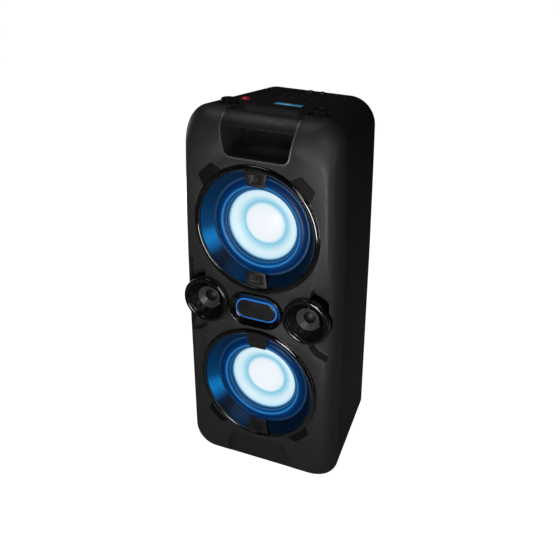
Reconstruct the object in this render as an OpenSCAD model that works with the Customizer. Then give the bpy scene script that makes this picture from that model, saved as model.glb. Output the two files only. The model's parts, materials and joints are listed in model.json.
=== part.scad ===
// Floor-standing party speaker: two lit woofers, two tweeter pods, a grab handle
// moulded into the top edge and a sloping control panel.
// Millimetres. +Z is up, -Y is the front, +X is the listener's right.
// The origin is on the floor, at the centre of the footprint.

/* [Cabinet] */
// Largest half width, at the seam between the front and the rear shell
half_w = 151.5; // [150:0.5:154]
// Half width of the flat part of the front
flat_half_w = 133; // [132:0.5:134.5]
// Half width at the back of the tapered rear shell
back_half_w = 124.5; // [120:0.5:128]
// How much narrower the front is at its top than at mid height
barrel_top = 8; // [5:0.25:9]
// How much narrower the front is at its bottom than at mid height
barrel_foot = 2; // [1:0.25:5]
// Depth of the rounded front edge, from the front face to the seam
bevel_d = 46; // [44:0.5:48]
// Depth from the front face to the back
body_d = 258; // [252:1:268]
// Radius of the cabinet's upper corners at the seam
corner_r = 41; // [39:0.5:44]
// Radius of the cabinet's upper corners at the back
back_corner_r = 50; // [46:0.5:52]
// Radius of the cabinet's lower corners
foot_r = 32; // [30:0.5:36]
// Height of the top edge at the seam, above the floor
top_front_z = 725; // [723:0.5:727]
// Height of the top edge at the back, above the floor
top_back_z = 706; // [702:0.5:710]
// Wall thickness of the moulded shells
wall = 5; // [4.5:0.25:5.5]

/* [Woofers] */
// Height of the lower woofer's centre
low_z = 203.2; // [202.4:0.2:204]
// Height of the upper woofer's centre
up_z = 523; // [522:0.2:524]
// Outer radius of the gloss trim ring
ring_r = 120; // [119:0.5:121]
// Cone travel each way from rest
cone_travel = 4; // [2:0.5:4]

/* [Tweeters] */
// Height of the tweeter centres
tw_z = 368.6; // [366:0.2:369]
// Distance of each tweeter from the centre line
tw_x = 99.6; // [98:0.1:100]
// Outer radius of the pod rim
tw_r = 45; // [43.5:0.25:45.25]

/* [Badge] */
// Height of the badge's centre
badge_z = 366; // [364:0.5:367]
// Half length of the light ring
badge_w = 41; // [39:0.5:41.5]
// Half height of the light ring
badge_h = 19.8; // [19:0.1:20.4]

/* [Handle] */
// Height of the floor of the handle opening
grip_floor_z = 652; // [650:0.5:654]
// How far the handle opening reaches back
grip_d = 74; // [72:0.5:76]

/* [Controls] */
// Radius of the two large knobs
knob_r = 16; // [14:0.2:17]
// Height of the two large knobs above the floor of their dishes
knob_h = 12.5; // [12:0.5:16]
// Travel of each push button
press = 1; // [0.5:0.1:1]

/* [Hidden] */
$fn = 64;
fy = -122.6;                      // plane of the front face
zt0 = top_front_z - 55;          // top of the flat part of the front
zb0 = 43;                         // bottom of the flat part of the front
zbf = 6;                          // underside at the seam
zbb = 16;                         // underside at the back
top_a = atan((top_front_z - top_back_z) / (body_d - bevel_d));
bot_a = atan((zbb - zbf) / (body_d - bevel_d));
panel_d0 = 80;                    // front edge of the control panel
panel_d1 = 236;                   // back edge of the control panel
steps = [0, 8, 20, 36, 54, 72, 90]; // steps round the rounded front edge

// ---------- outline helpers ----------
function arcp(cx, cz, r, a0, a1, n) =
  [for (i = [0:n]) let (t = a0 + (a1 - a0) * i / n) [cx + r * cos(t), cz + r * sin(t)]];
// Rounded rectangle with slightly barrelled sides
function outline(a, zt, zb, rt, rb, k, n = 7) =
  let (zc = (zt + zb) / 2, h = (zt - zb) / 2,
       p = concat(arcp(a - rt, zt - rt, rt, 0, 90, n), arcp(-a + rt, zt - rt, rt, 90, 180, n),
         [for (i = [1:5]) [-a, (zt - rt) + ((zb + rb) - (zt - rt)) * i / 6]],
         arcp(-a + rb, zb + rb, rb, 180, 270, n), arcp(a - rb, zb + rb, rb, 270, 360, n),
         [for (i = [1:5]) [a, (zb + rb) + ((zt - rt) - (zb + rb)) * i / 6]]))
  [for (q = p) [q[0] * (1 - k * (q[1] > zc ? barrel_top : barrel_foot) * pow((q[1] - zc) / h, 2) / a), q[1]]];
function top_z(d) = top_front_z + (top_back_z - top_front_z) * (d - bevel_d) / (body_d - bevel_d);
function bot_z(d) = zbf + (zbb - zbf) * (d - bevel_d) / (body_d - bevel_d);
function half_at(d) = half_w + (back_half_w - half_w) * (d - bevel_d) / (body_d - bevel_d);
function corner_at(d) = corner_r + (back_corner_r - corner_r) * (d - bevel_d) / (body_d - bevel_d);
function barrel_at(d) = max(0, 1 - 0.6 * (d - bevel_d) / (body_d - bevel_d));

module slice(d, pts)
  translate([0, fy + d, 0]) rotate([90, 0, 0]) linear_extrude(height = 0.02, center = true) polygon(pts);
// Cross-section of the rounded front edge; t runs from 0 at the face to 90 at the seam
module front_slice(t, g = 0, d0 = 0)
  slice(d0 + (bevel_d - d0) * (1 - cos(t)),
    outline(flat_half_w + (half_w - flat_half_w) * sin(t) - g, zt0 + (top_front_z - zt0) * pow(sin(t), 0.8) - g,
      zb0 + (zbf - zb0) * sin(t) + g, 62 + (corner_r - 62) * sin(t) - g, 66 + (foot_r - 66) * sin(t) - g, 1));
// Cross-section of the rear shell
module rear_slice(d, g = 0, r = 0)
  slice(d, outline(half_at(d) - g - r, top_z(d) - g - r, bot_z(d) + g + r,
    corner_at(d) - g - r, foot_r - g - r, barrel_at(d)));
module front_form() hull() for (t = steps) front_slice(t);
module front_hollow() hull() {
  for (t = [0, 10, 25, 50, 72, 90]) front_slice(t, wall - 0.6, 5);
  slice(bevel_d + 1, outline(half_w - wall, top_front_z - wall, zbf + wall, corner_r - wall, foot_r - wall, 1));
}
module rear_form() hull() {
  rear_slice(bevel_d + 0.02);
  rear_slice(body_d - 5);
  rear_slice(body_d - 1.5, 0, 1.5);
  rear_slice(body_d, 0, 5);
}
module rear_hollow() hull() {
  rear_slice(bevel_d - 2, wall);
  rear_slice(body_d - 6, wall);
}
// A turned shape on an axis through the front face, from [radius, depth] points
module turned(x, z, pts) translate([x, fy, z]) rotate([-90, 0, 0]) rotate_extrude($fn = 96) polygon(pts);
module bore(x, z, r, d0, d1) translate([x, fy + d0, z]) rotate([-90, 0, 0]) cylinder(r = r, h = d1 - d0);
// A front-view outline pushed from depth d0 to depth d1
module pushed(pts, d0, d1) translate([0, fy + d1, 0]) rotate([90, 0, 0]) linear_extrude(height = d1 - d0) polygon(pts);
// A pill shape with half length w and half height h
module pill(w, h, d0, d1, z = 0) {
  translate([0, fy + d0, z]) rotate([-90, 0, 0]) {
    for (s = [-1, 1]) translate([s * (w - h), 0, 0]) cylinder(r = h, h = d1 - d0);
    translate([-(w - h), -h, 0]) cube([2 * (w - h), 2 * h, d1 - d0]);
  }
}
// Places children on the sloping top, at x and at depth d, standing square to it
module on_top(x, d, h = 0) translate([x, fy + d, top_z(d)]) rotate([-top_a, 0, 0]) translate([0, 0, h]) children();
// A rounded plate lying in XY, centred, from z0 to z1
module plate(w, l, r, z0, z1) translate([0, 0, z0]) linear_extrude(height = z1 - z0)
  polygon(concat(arcp(w / 2 - r, l / 2 - r, r, 0, 90, 6), arcp(-w / 2 + r, l / 2 - r, r, 90, 180, 6),
    arcp(-w / 2 + r, -l / 2 + r, r, 180, 270, 6), arcp(w / 2 - r, -l / 2 + r, r, 270, 360, 6)));

// ---------- handle ----------
// Front view of the handle opening; g makes it larger
function grip_outline(g) = concat(
  [[68.5 + g, 745], [68 + g, 704]],
  arcp(46.5, grip_floor_z + 14, 14 + g, -10, -90, 6),
  arcp(-46.5, grip_floor_z + 14, 14 + g, 270, 190, 6),
  [[-68 - g, 704], [-68.5 - g, 745]]);
module grip_space(g) intersection() {
  pushed(grip_outline(g), -10, grip_d + g);
  translate([0, fy, 600]) linear_extrude(height = 150)
    polygon(concat([[95, -20], [95, 2], [76 + g, 22], [58 + g, 58]], arcp(41.5 + g, grip_d + g - 14, 14, 10, 90, 6),
      arcp(-41.5 - g, grip_d + g - 14, 14, 90, 170, 6), [[-58 - g, 58], [-76 - g, 22], [-95, 2], [-95, -20]]));
}
module whole_form() { front_form(); rear_form(); }

module handle_pocket() color("#17181a") intersection() {
  hull() {
    for (t = steps) front_slice(t);
    rear_slice(grip_d + 8);
  }
  difference() {
    grip_space(3);
    translate([0, -0.5, 0]) grip_space(0);
    translate([-100, fy - 60, 600]) cube([200, 59, 200]);
  }
}
// The grip: a broad bar that carries the front's curve across the opening
module handle_bar() color("#2a2b2d") intersection() {
  front_form();
  grip_space(-0.2);
  translate([-80, fy, 0]) rotate([90, 0, 90]) linear_extrude(height = 160)
    polygon([[4, 705.5], [6, 704], [9, 702.4], [13, 701.4], [20, 701.6], [27, 704], [31.5, 708], [34.5, 713], [36, 718], [36.2, 730], [-2, 730], [-2, 705.5]]);
}

// ---------- shells ----------
module woofer_well(z) difference() {
  bore(0, z, 116, 4.6, 32);
  bore(0, z, 112, -6, 28.2);
  bore(0, z, 93, -6, 40);
}
module front_baffle() color("#3a3b3d") difference() {
  union() {
    difference() { front_form(); front_hollow(); }
    for (z = [low_z, up_z]) woofer_well(z);
    // backing for the scoop at the foot and for the side pockets
    intersection() {
      front_form();
      union() {
        pushed([[-74, 2], [74, 2], [70, 62], [52, 85], [-52, 85], [-70, 62]], -2, 25);
        for (s = [-1, 1]) pushed([for (q = [[100, 84], [150, 84], [150, 256], [100, 248]]) [s * q[0], 200 + q[1]]], 2, 25);
      }
    }
  }
  for (z = [low_z, up_z]) bore(0, z, 112, -6, 28.2);
  for (s = [-1, 1]) bore(s * tw_x, tw_z, tw_r - 0.4, -6, 60);
  // badge seat
  pill(47, 26, -2, 12, badge_z);
  // scoop at the foot
  intersection() {
    pushed([[-68.5, -5], [68.5, -5], [68.2, 34], [64, 62], [58, 72], [47, 78.8], [0, 80.6], [-47, 78.8], [-58, 72], [-64, 62], [-68.2, 34]], -5, 60);
    translate([-90, fy, 0]) rotate([90, 0, 90]) linear_extrude(height = 180)
      polygon([[-10, -10], [16, -10], [16, 40], [13, 62], [6, 80], [-10, 84]]);
  }
  // side pockets round the tweeters
  for (s = [-1, 1]) pushed([for (q = [[104, 424], [110, 432], [122, 442], [136.5, 450], [139, 438], [140, 296], [138, 290], [129, 292], [114, 299], [104, 310]]) [s * q[0], q[1]]], -5, 19);
  grip_space(3);
}
module rear_cabinet() color("#1c1d1f") difference() {
  rear_form();
  rear_hollow();
  grip_space(3);
  // seat and opening for the control panel
  on_top(0, 160) translate([0, -160, 0]) { panel_shape(0.3, -3.2, 20); panel_shape(-5, -20, 2); }
  for (s = [-1, 1]) on_top(s * k_x, k_d) translate([0, 0, -12]) cylinder(r = 21.4, h = 14);
  // seat and opening for the rear panel, and its screw holes
  translate([0, fy + body_d, 250]) rotate([90, 0, 0]) {
    plate(164, 304, 8, -10, 4.3);
    plate(150, 290, 6, -10, 20);
    for (x = [-78, 78], z = [-146, -49, 49, 146]) translate([x, z, 0]) cylinder(r = 1.75, h = 20);
  }
}
// Outline of the control panel in the plane of the top; y is the depth behind the front face
module panel_shape(g, z0, z1) translate([0, 0, z0]) linear_extrude(height = z1 - z0)
  polygon(concat(
    arcp(80 + g - 12, panel_d1 + g - 12, 12, 0, 90, 6), arcp(-80 - g + 12, panel_d1 + g - 12, 12, 90, 180, 6),
    [[-106 - g, 92], [-106 - g, 50 - g], [-68 + g, 50 - g], [-63 + g, 65 - g], [-50 + g, panel_d0 - g],
     [50 - g, panel_d0 - g], [63 - g, 65 - g], [68 - g, 50 - g], [106 + g, 50 - g], [106 + g, 92]]));

// Button places: column offset and row
btn = [[-30, 0], [-10, 0], [10, 0], [30, 0], [-30, 1], [-10, 1], [10, 1], [30, 1]];
function btn_x(i) = (btn[i][1] == 0 ? -1 : 3) + btn[i][0];
function btn_d(i) = btn[i][1] == 0 ? 188 : 163;
k_x = 84; k_d = 72;               // large knobs
p_x = -73; p_d = 114;             // power button
m_x = 76; m_d = 116;              // microphone level knob
l_x = 12; l_d = 111;              // display
rk = [[3, 228], [26, 228]];       // small rear knobs
dish = 4.8;                       // depth of the dishes round the large knobs

module top_panel() color("#202123") difference() {
  union() {
    on_top(0, 160) translate([0, -160, 0]) panel_shape(0, -3, 0);
    for (s = [-1, 1]) on_top(s * k_x, k_d) translate([0, 0, -dish - 2]) cylinder(r = 21, h = dish + 2);
  }
  for (s = [-1, 1]) on_top(s * k_x, k_d) { translate([0, 0, -dish]) cylinder(r = 19.2, h = 20); cylinder(r = 5.4, h = 40, center = true); }
  on_top(p_x, p_d) cylinder(r = 8.9, h = 20, center = true);
  on_top(m_x, m_d) cylinder(r = 3, h = 20, center = true);
  on_top(l_x, l_d) plate(60.4, 26.4, 3, -10, 10);
  for (i = [0:7]) on_top(btn_x(i), btn_d(i)) plate(12, 6.8, 2, -10, 10);
  for (k = rk) on_top(k[0], k[1]) cylinder(r = 3, h = 20, center = true);
  // two finger grooves near the back
  for (x = [-61, 67]) on_top(x, 211) plate(26, 5, 2.4, -1.6, 10);
}
module rear_panel() color("#26272a") difference() {
  translate([0, fy + body_d, 250]) rotate([90, 0, 0]) plate(163.4, 303.4, 7.7, 1.6, 4.2);
  translate([-45, fy + body_d, 130]) rotate([90, 0, 0]) plate(27.4, 20.4, 2, -5, 20);
  translate([10, fy + body_d, 130]) rotate([90, 0, 0]) plate(19.4, 13.4, 1, -5, 20);
  for (x = [-78, 78], z = [104, 201, 299, 396]) translate([x, fy + body_d + 3, z]) rotate([90, 0, 0]) cylinder(r = 1.75, h = 20);
  for (i = [0:3]) translate([-52 + 30 * i, fy + body_d + 3, 372]) rotate([90, 0, 0]) cylinder(r = i < 2 ? 5 : 7, h = 20);
}
module rubber_feet() color("#101010") for (x = [-88, 88], d = [84, 222]) difference() {
  translate([x * (d > 100 ? 0.8 : 1), fy + d, 0]) cylinder(r1 = 13, r2 = 15, h = 30);
  translate([x * (d > 100 ? 0.8 : 1), fy + d, bot_z(d)]) rotate([bot_a, 0, 0]) translate([-40, -40, 0]) cube([80, 80, 60]);
}
module panel_screws() color("#55575a") for (x = [-78, 78], z = [104, 201, 299, 396])
  translate([x, fy + body_d, z]) rotate([90, 0, 0]) difference() {
    union() { translate([0, 0, 0.2]) cylinder(r = 3.1, h = 1.4); cylinder(r = 1.7, h = 9); }
    for (a = [0, 90]) rotate([0, 0, a]) translate([-2.1, -0.4, -2]) cube([4.2, 0.8, 3]);
  }

// ---------- woofers: r is the radius, d the depth behind the front face ----------
// Flat pad that carries a fixing screw, at angle a from +X, reaching out to radius r
module lug(z, a, r) translate([0, fy, z]) rotate([0, -a, 0])
  translate([0, -1.6, 0]) rotate([-90, 0, 0]) linear_extrude(height = 1.55)
    polygon([[ring_r - 6, -24.5], [ring_r + 2, -23.5], [r, -17], [r, 17], [ring_r + 2, 23.5], [ring_r - 6, 24.5]]);
// Tab that reaches over the reflector, at angle a from +X
module clip(z, a) translate([0, fy, z]) rotate([0, -a, 0])
  translate([0, 0, -30]) difference() {
    linear_extrude(height = 60) polygon([[111.4, -2.2], [103, -1.2], [81.6, 0.6], [80.4, 2.2], [81.2, 4], [111.4, 5.2]]);
    for (s = [-1, 1]) translate([110.5, -10, 30 + s * 22]) rotate([0, -s * 11, 0]) translate([-60, 0, s > 0 ? 0 : -30]) cube([80, 40, 30]);
    translate([94, -6, 30]) rotate([-90, 0, 0]) cylinder(r = 2.2, h = 7);
  }
module trim_ring(z, up) color("#0b0b0c") {
  turned(0, z, [[ring_r, -0.05], [ring_r, -1.6], [ring_r - 1.4, -3.6], [ring_r - 4.4, -4.8], [ring_r - 7.4, -4.4], [ring_r - 9.2, -2.8], [ring_r - 9.8, 0.5], [ring_r - 9.8, 7], [ring_r - 8.4, 7], [ring_r - 8.4, -0.05]]);
  difference() {
    for (a = up ? [46, 134] : [226, 314]) lug(z, a, up ? 140 : 134);
    bore(0, z, ring_r - 0.02, -10, 10);
  }
  difference() {
    for (a = [90, 270]) clip(z, a);
    difference() { bore(0, z, 140, -10, 20); bore(0, z, ring_r - 9.78, -11, 21); }
  }
}
function reflector_pts() = concat(
  [for (i = [0:8]) let (u = i / 8) [109.6 - 15.4 * u, 1.2 + 18.6 * pow(u, 0.8)]],
  [[94.2, 25.1], [96.4, 25.1]],
  [for (i = [8:-1:0]) let (u = i / 8) [109.9 - 12.4 * u, 4.2 + 17.6 * pow(u, 0.8)]]);
module reflector(z) color("#0f4f86") difference() {
  turned(0, z, reflector_pts());
  for (a = [90, 270]) translate([0, fy, z]) rotate([0, -a, 0]) translate([80, 0, -24]) cube([32, 5.6, 48]);
}
module light_ring(z) color("#6fd0ff") turned(0, z, [[89.2, 20.4], [93.8, 20.4], [93.8, 23.8], [89.2, 23.8]]);
module basket(z) color("#1a1a1b") {
  turned(0, z, [[84, 25.2], [84, 28.2], [108, 28.2], [108, 25.2]]);
  difference() {
    turned(0, z, [[84, 28.2], [87.5, 28.2], [60, 66], [27.6, 66], [27.6, 64], [58.6, 64]]);
    for (i = [0:5]) translate([0, fy + 47, z]) rotate([0, i * 60 + 30, 0]) translate([54, 0, 0]) rotate([0, 90, 0]) plate(34, 26, 6, 0, 50);
  }
  turned(0, z, [[46, 49], [70, 49], [70, 51], [46, 51]]);
}
module magnet(z) color("#2b2b2e") difference() {
  union() {
    turned(0, z, [[0, 66.2], [27, 66.2], [50, 66.2], [50, 72], [58, 72], [58, 90], [50, 90], [50, 96], [0, 96]]);
    bore(0, z, 23, 60, 67);
  }
  turned(0, z, [[23, 55], [27, 55], [27, 84 + cone_travel], [23, 84 + cone_travel]]);
}
function roll_pts() = concat(
  [for (i = [0:10]) let (t = 180 * i / 10) [78.3 + 9.9 * cos(t), 24 - 6.4 * sin(t)]],
  [[67.4, 24], [67.4, 25.2]],
  [for (i = [10:-1:0]) let (t = 180 * i / 10) [78.3 + 8.7 * cos(t), 25.2 - 6.4 * sin(t)]],
  [[93.6, 25.2], [93.6, 24]]);
module surround(z) color("#0d3f6e") turned(0, z, roll_pts());
module cone(z) color("#dff6ff") turned(0, z, [[68.6, 25.5], [69.6, 27], [67.6, 29.6], [41.4, 42], [25.6, 48.2], [25.6, 46.2], [41, 40.2], [66.5, 28.2]]);
module dust_cap(z) color("#f4fcff") turned(0, z, concat([for (i = [0:8]) let (u = i / 8) [40.8 * u, 30.2 + 9.6 * u * u]],
  [for (i = [8:-1:0]) let (u = i / 8) [40 * u, 31.2 + 8.7 * u * u]]));
module spider(z) color("#8a6b2e") turned(0, z, concat([for (i = [0:12]) [26.1 + 2 * i, 52.2 + 0.9 * sin(i * 90)]],
  [for (i = [12:-1:0]) [26.1 + 2 * i, 53 + 0.9 * sin(i * 90)]]));
module voice_coil(z) color("#b06a30") turned(0, z, [[24.4, 46.6], [25.6, 46.6], [25.6, 56.4], [25.7, 56.4], [25.7, 80], [24.4, 80]]);

// ---------- tweeters ----------
module tweeter_horn(s) color("#131314") turned(s * tw_x, tw_z, [
  [tw_r - 0.6, 26], [tw_r - 0.6, -5], [tw_r, -8.5], [tw_r - 0.4, -10.8], [tw_r - 2, -12.4], [tw_r - 3.8, -12.8], [tw_r - 6.2, -12.4], [tw_r - 7.4, -11.2],
  [tw_r - 8.3, -9], [28, 2], [21, 9], [14.6, 13], [14.6, 16], [36, 16], [36, 26]]);
module phase_ring(s) color("#46484b") {
  turned(s * tw_x, tw_z, [[21.4, 2.2], [22.6, 3.2], [13, 11.4], [11.4, 11]]);
  difference() {
    for (a = [30, 150, 270]) translate([s * tw_x, fy, tw_z]) rotate([0, a, 0]) translate([14, 5.6, -1.2]) cube([15, 2.6, 2.4]);
    turned(s * tw_x, tw_z, [[0, -5], [19, -5], [19, 4.8], [14, 9.4], [0, 10]]);
    turned(s * tw_x, tw_z, [[60, -12], [tw_r - 8.3, -9], [28, 2], [21, 9], [14.6, 13], [60, 13]]);
  }
}
module dome(s) color("#1d1d1f") turned(s * tw_x, tw_z, concat([for (i = [0:6]) let (u = i / 6) [12.6 * u, 9.6 + 5.2 * u * u]], [[14.4, 14.8], [14.4, 16], [0, 16]]));
module tweeter_magnet(s) color("#2b2b2e") turned(s * tw_x, tw_z, [[0, 16.2], [34, 16.2], [34, 26], [30, 26], [30, 44], [0, 44]]);

// ---------- badge ----------
module badge_dish() color("#0a0a0b") difference() {
  union() {
    pill(46.8, 25.8, -0.1, 10, badge_z);
    pill(52.5, 33, -9, -0.05, badge_z);
  }
  hull() {
    pill(50.6, 31.1, -9.2, -9.1, badge_z);
    pill(43.4, 22.2, -2.2, -2.1, badge_z);
  }
  pill(badge_w + 0.2, badge_h + 0.2, -5, 6, badge_z);
}
module badge_light() color("#3aa0ff") difference() {
  pill(badge_w, badge_h, -3, 6, badge_z);
  pill(badge_w - 2.6, badge_h - 2.6, -5, 8, badge_z);
}
module badge_cap() color("#202225") pill(badge_w - 2.8, badge_h - 2.8, -4, 6, badge_z);

// ---------- control panel ----------
module display_lens() color("#3f8fbf") on_top(l_x, l_d) plate(60, 26, 2.8, -2.4, 0.8);
module display_module() color("#3a6f52") on_top(l_x, l_d) plate(56, 23, 1, -9, -2.6);
module control_board() color("#1f5a34") {
  // one board with two arms out to the large knobs' encoders
  on_top(0, 160) translate([0, 0, -15]) linear_extrude(height = 1.6)
    polygon([[86, 67], [86, -68], [91, -68], [91, -95], [77, -95], [77, -71],
      [-77, -71], [-77, -95], [-91, -95], [-91, -68], [-86, -68], [-86, 67]]);
  // encoders and switches, each soldered into the board
  for (s = [-1, 1]) on_top(s * k_x, k_d) plate(11, 11, 1, -19, -12);
  for (i = [0:7]) on_top(btn_x(i), btn_d(i)) plate(6, 6, 0.5, -14.2, -7.4);
  for (k = rk) on_top(k[0], k[1]) plate(9.6, 9.6, 0.5, -14.2, -7.8);
  on_top(p_x, p_d) plate(10, 10, 0.5, -14.2, -7.4);
  on_top(m_x, m_d) plate(10, 10, 0.5, -14.2, -7.8);
}
// Large knob, sunk in its dish: a knurled grip and a stem that reaches down through the panel
module big_knob(s) color("#1a1a1c") on_top(s * k_x, k_d) translate([0, 0, -dish]) {
  difference() {
    union() {
      translate([0, 0, 0.5]) cylinder(r = knob_r, h = 1.8);
      translate([0, 0, 2.3]) cylinder(r1 = knob_r - 0.8, r2 = knob_r - 1.8, h = knob_h - 2.3);
      translate([0, 0, -6.8]) cylinder(r = 4.5, h = 8.3);
    }
    for (i = [0:23]) rotate([0, 0, i * 15]) translate([knob_r - 0.5, 0, 3]) cylinder(r = 1, h = 20, $fn = 16);
    translate([0, 0, knob_h - 0.8]) cylinder(r = knob_r - 5, h = 5);
  }
}
module mic_knob() color("#1a1a1c") on_top(m_x, m_d) {
  difference() {
    translate([0, 0, 0.5]) cylinder(r1 = 6.6, r2 = 6, h = 10.5);
    for (i = [0:11]) rotate([0, 0, i * 30]) translate([6.8, 0, 1.6]) cylinder(r = 0.9, h = 20, $fn = 16);
  }
  translate([0, 0, -7.4]) cylinder(r = 2.4, h = 8);
}
module power_button() color("#b01020") on_top(p_x, p_d) {
  translate([0, 0, -6]) cylinder(r = 8.4, h = 6.6);
  translate([0, 0, 0.6]) cylinder(r1 = 8.4, r2 = 4.6, h = 2.6);
}
module small_button(i) color("#2c2d30") on_top(btn_x(i), btn_d(i)) plate(11.2, 6, 1.8, -6, press + 0.6);
module rear_knob(i) color("#3a3b3e") on_top(rk[i][0], rk[i][1]) {
  translate([0, 0, 0.5]) cylinder(r1 = 5.6, r2 = 5, h = 4.7);
  translate([0, 0, -7.4]) cylinder(r = 2.4, h = 8);
}

// ---------- electronics ----------
module amplifier_board() color("#1f5a34") {
  translate([-60, fy + 232, 285]) cube([120, 2, 115]);
  translate([-50, fy + 206, 292]) cube([64, 26, 8]);
  for (i = [0:7]) translate([-50 + 8 * i, fy + 206, 300]) cube([2.4, 26, 50]);
  for (i = [0:3]) translate([-52 + 30 * i, fy + 234.1, 372]) rotate([-90, 0, 0]) difference() {
    cylinder(r = i < 2 ? 4.8 : 6.8, h = 21);
    translate([0, 0, 5]) cylinder(r = i < 2 ? 1.8 : 3.25, h = 20);
  }
}
module power_supply() color("#c9a227") {
  translate([-60, fy + 150, 22]) cube([120, 90, 2]);
  translate([-40, fy + 165, 24]) cube([46, 40, 36]);
  for (i = [0:2]) translate([25, fy + 170 + 24 * i, 24]) cylinder(r = 10, h = 32);
}
module mains_inlet() color("#0e0e0f") difference() {
  union() {
    translate([-45, fy + body_d, 130]) rotate([90, 0, 0]) plate(27, 20, 1.8, 1, 22);
  }
  translate([-45, fy + body_d, 130]) rotate([90, 0, 0]) plate(21, 11, 4, -5, 14);
}
module power_switch() color("#141415") translate([10, fy + body_d - 4.2, 130]) difference() {
  rotate([0, 90, 0]) translate([0, 0, -8.6]) linear_extrude(height = 17.2)
    polygon([[-6, 1.8], [0, 0.6], [6, 2.6], [4.4, -7], [-4.4, -7]]);
  rotate([0, 90, 0]) cylinder(r = 1.2, h = 40, center = true);
}

rear_cabinet();
front_baffle();
handle_pocket();
handle_bar();
top_panel();
rear_panel();
rubber_feet();
panel_screws();
trim_ring(up_z, true);  // upper_trim_ring
reflector(up_z);  // upper_reflector
light_ring(up_z);  // upper_light_ring
basket(up_z);  // upper_basket
magnet(up_z);  // upper_magnet
surround(up_z);  // upper_surround
cone(up_z);  // upper_cone
dust_cap(up_z);  // upper_dust_cap
spider(up_z);  // upper_spider
voice_coil(up_z);  // upper_voice_coil
trim_ring(low_z, false);  // lower_trim_ring
reflector(low_z);  // lower_reflector
light_ring(low_z);  // lower_light_ring
basket(low_z);  // lower_basket
magnet(low_z);  // lower_magnet
surround(low_z);  // lower_surround
cone(low_z);  // lower_cone
dust_cap(low_z);  // lower_dust_cap
spider(low_z);  // lower_spider
voice_coil(low_z);  // lower_voice_coil
tweeter_horn(-1);  // left_tweeter_horn
phase_ring(-1);  // left_phase_ring
dome(-1);  // left_dome
tweeter_magnet(-1);  // left_tweeter_magnet
tweeter_horn(1);  // right_tweeter_horn
phase_ring(1);  // right_phase_ring
dome(1);  // right_dome
tweeter_magnet(1);  // right_tweeter_magnet
badge_dish();
badge_light();
badge_cap();
display_lens();
display_module();
control_board();
big_knob(-1);  // left_knob
big_knob(1);  // right_knob
power_button();
small_button(0);  // button_1
small_button(1);  // button_2
small_button(2);  // button_3
small_button(3);  // button_4
small_button(4);  // button_5
small_button(5);  // button_6
small_button(6);  // button_7
small_button(7);  // button_8
rear_knob(0);  // rear_knob_a
rear_knob(1);  // rear_knob_b
mic_knob();
amplifier_board();
power_supply();
mains_inlet();
power_switch();
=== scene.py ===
import bpy, bmesh, math, json
from mathutils import Vector, Matrix


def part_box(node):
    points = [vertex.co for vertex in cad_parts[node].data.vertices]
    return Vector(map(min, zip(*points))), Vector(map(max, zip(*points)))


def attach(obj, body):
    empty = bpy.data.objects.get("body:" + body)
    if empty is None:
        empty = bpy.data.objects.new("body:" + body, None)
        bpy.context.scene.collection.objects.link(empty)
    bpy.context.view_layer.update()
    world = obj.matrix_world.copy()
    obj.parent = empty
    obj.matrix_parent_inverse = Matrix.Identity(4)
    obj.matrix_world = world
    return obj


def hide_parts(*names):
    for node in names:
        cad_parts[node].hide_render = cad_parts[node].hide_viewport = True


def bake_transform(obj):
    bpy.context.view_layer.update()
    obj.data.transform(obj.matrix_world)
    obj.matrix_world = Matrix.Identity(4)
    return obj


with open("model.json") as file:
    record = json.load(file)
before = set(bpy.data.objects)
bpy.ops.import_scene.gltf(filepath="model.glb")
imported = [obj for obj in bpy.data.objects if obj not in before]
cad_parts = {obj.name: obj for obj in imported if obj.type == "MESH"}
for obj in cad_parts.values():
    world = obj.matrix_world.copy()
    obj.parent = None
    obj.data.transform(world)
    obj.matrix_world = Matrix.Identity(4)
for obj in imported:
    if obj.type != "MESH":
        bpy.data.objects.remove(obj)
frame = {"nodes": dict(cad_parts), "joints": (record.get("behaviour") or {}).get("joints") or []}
bpy.context.view_layer.update()
N = frame["nodes"]
MM = 0.001


def mid(node):
    a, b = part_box(node)
    return (a + b) / 2


def joint(name):
    return next(j for j in frame["joints"] if j["name"] == name)


# ------------------------------------------------------------------ places, all read from the frame
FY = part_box("front_baffle")[0].y * 1000          # plane of the front face, mm
UP_Z = mid("upper_cone").z * 1000
LOW_Z = mid("lower_cone").z * 1000
TW_Z = mid("left_tweeter_horn").z * 1000
TW_X = mid("right_tweeter_horn").x * 1000
BADGE_Z = mid("badge_cap").z * 1000
BODY_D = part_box("rear_cabinet")[1].y * 1000 - FY
HALF_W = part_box("rear_cabinet")[1].x * 1000
NRM = Vector(joint("right_knob_turn")["axis"]).normalized()   # square to the sloping top
TOP_A = math.atan2(NRM.y, NRM.z)

# ------------------------------------------------------------------ mesh helpers (millimetres in, metres out)


def finish_mesh(ob, angle=32.0):
    me = ob.data
    for p in me.polygons:
        p.use_smooth = True
    me.set_sharp_from_angle(angle=math.radians(angle))


def new_obj(name, verts, faces, mats=(), angle=32.0, recalc=True):
    me = bpy.data.meshes.new(name)
    me.from_pydata([(v[0] * MM, v[1] * MM, v[2] * MM) for v in verts], [], faces)
    me.update()
    ob = bpy.data.objects.new(name, me)
    bpy.context.scene.collection.objects.link(ob)
    if recalc:
        bm = bmesh.new(); bm.from_mesh(me)
        bmesh.ops.recalc_face_normals(bm, faces=bm.faces[:])
        bm.to_mesh(me); bm.free()
    for m in (mats if isinstance(mats, (list, tuple)) else [mats]):
        me.materials.append(m)
    finish_mesh(ob, angle)
    return ob


def place(ob, body, replaces=()):
    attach(ob, body)
    if replaces:
        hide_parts(*replaces)
    return ob


def arc(cx, cy, r, a0, a1, n):
    return [(cx + r * math.cos(math.radians(a0 + (a1 - a0) * i / n)),
             cy + r * math.sin(math.radians(a0 + (a1 - a0) * i / n))) for i in range(n + 1)]


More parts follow.
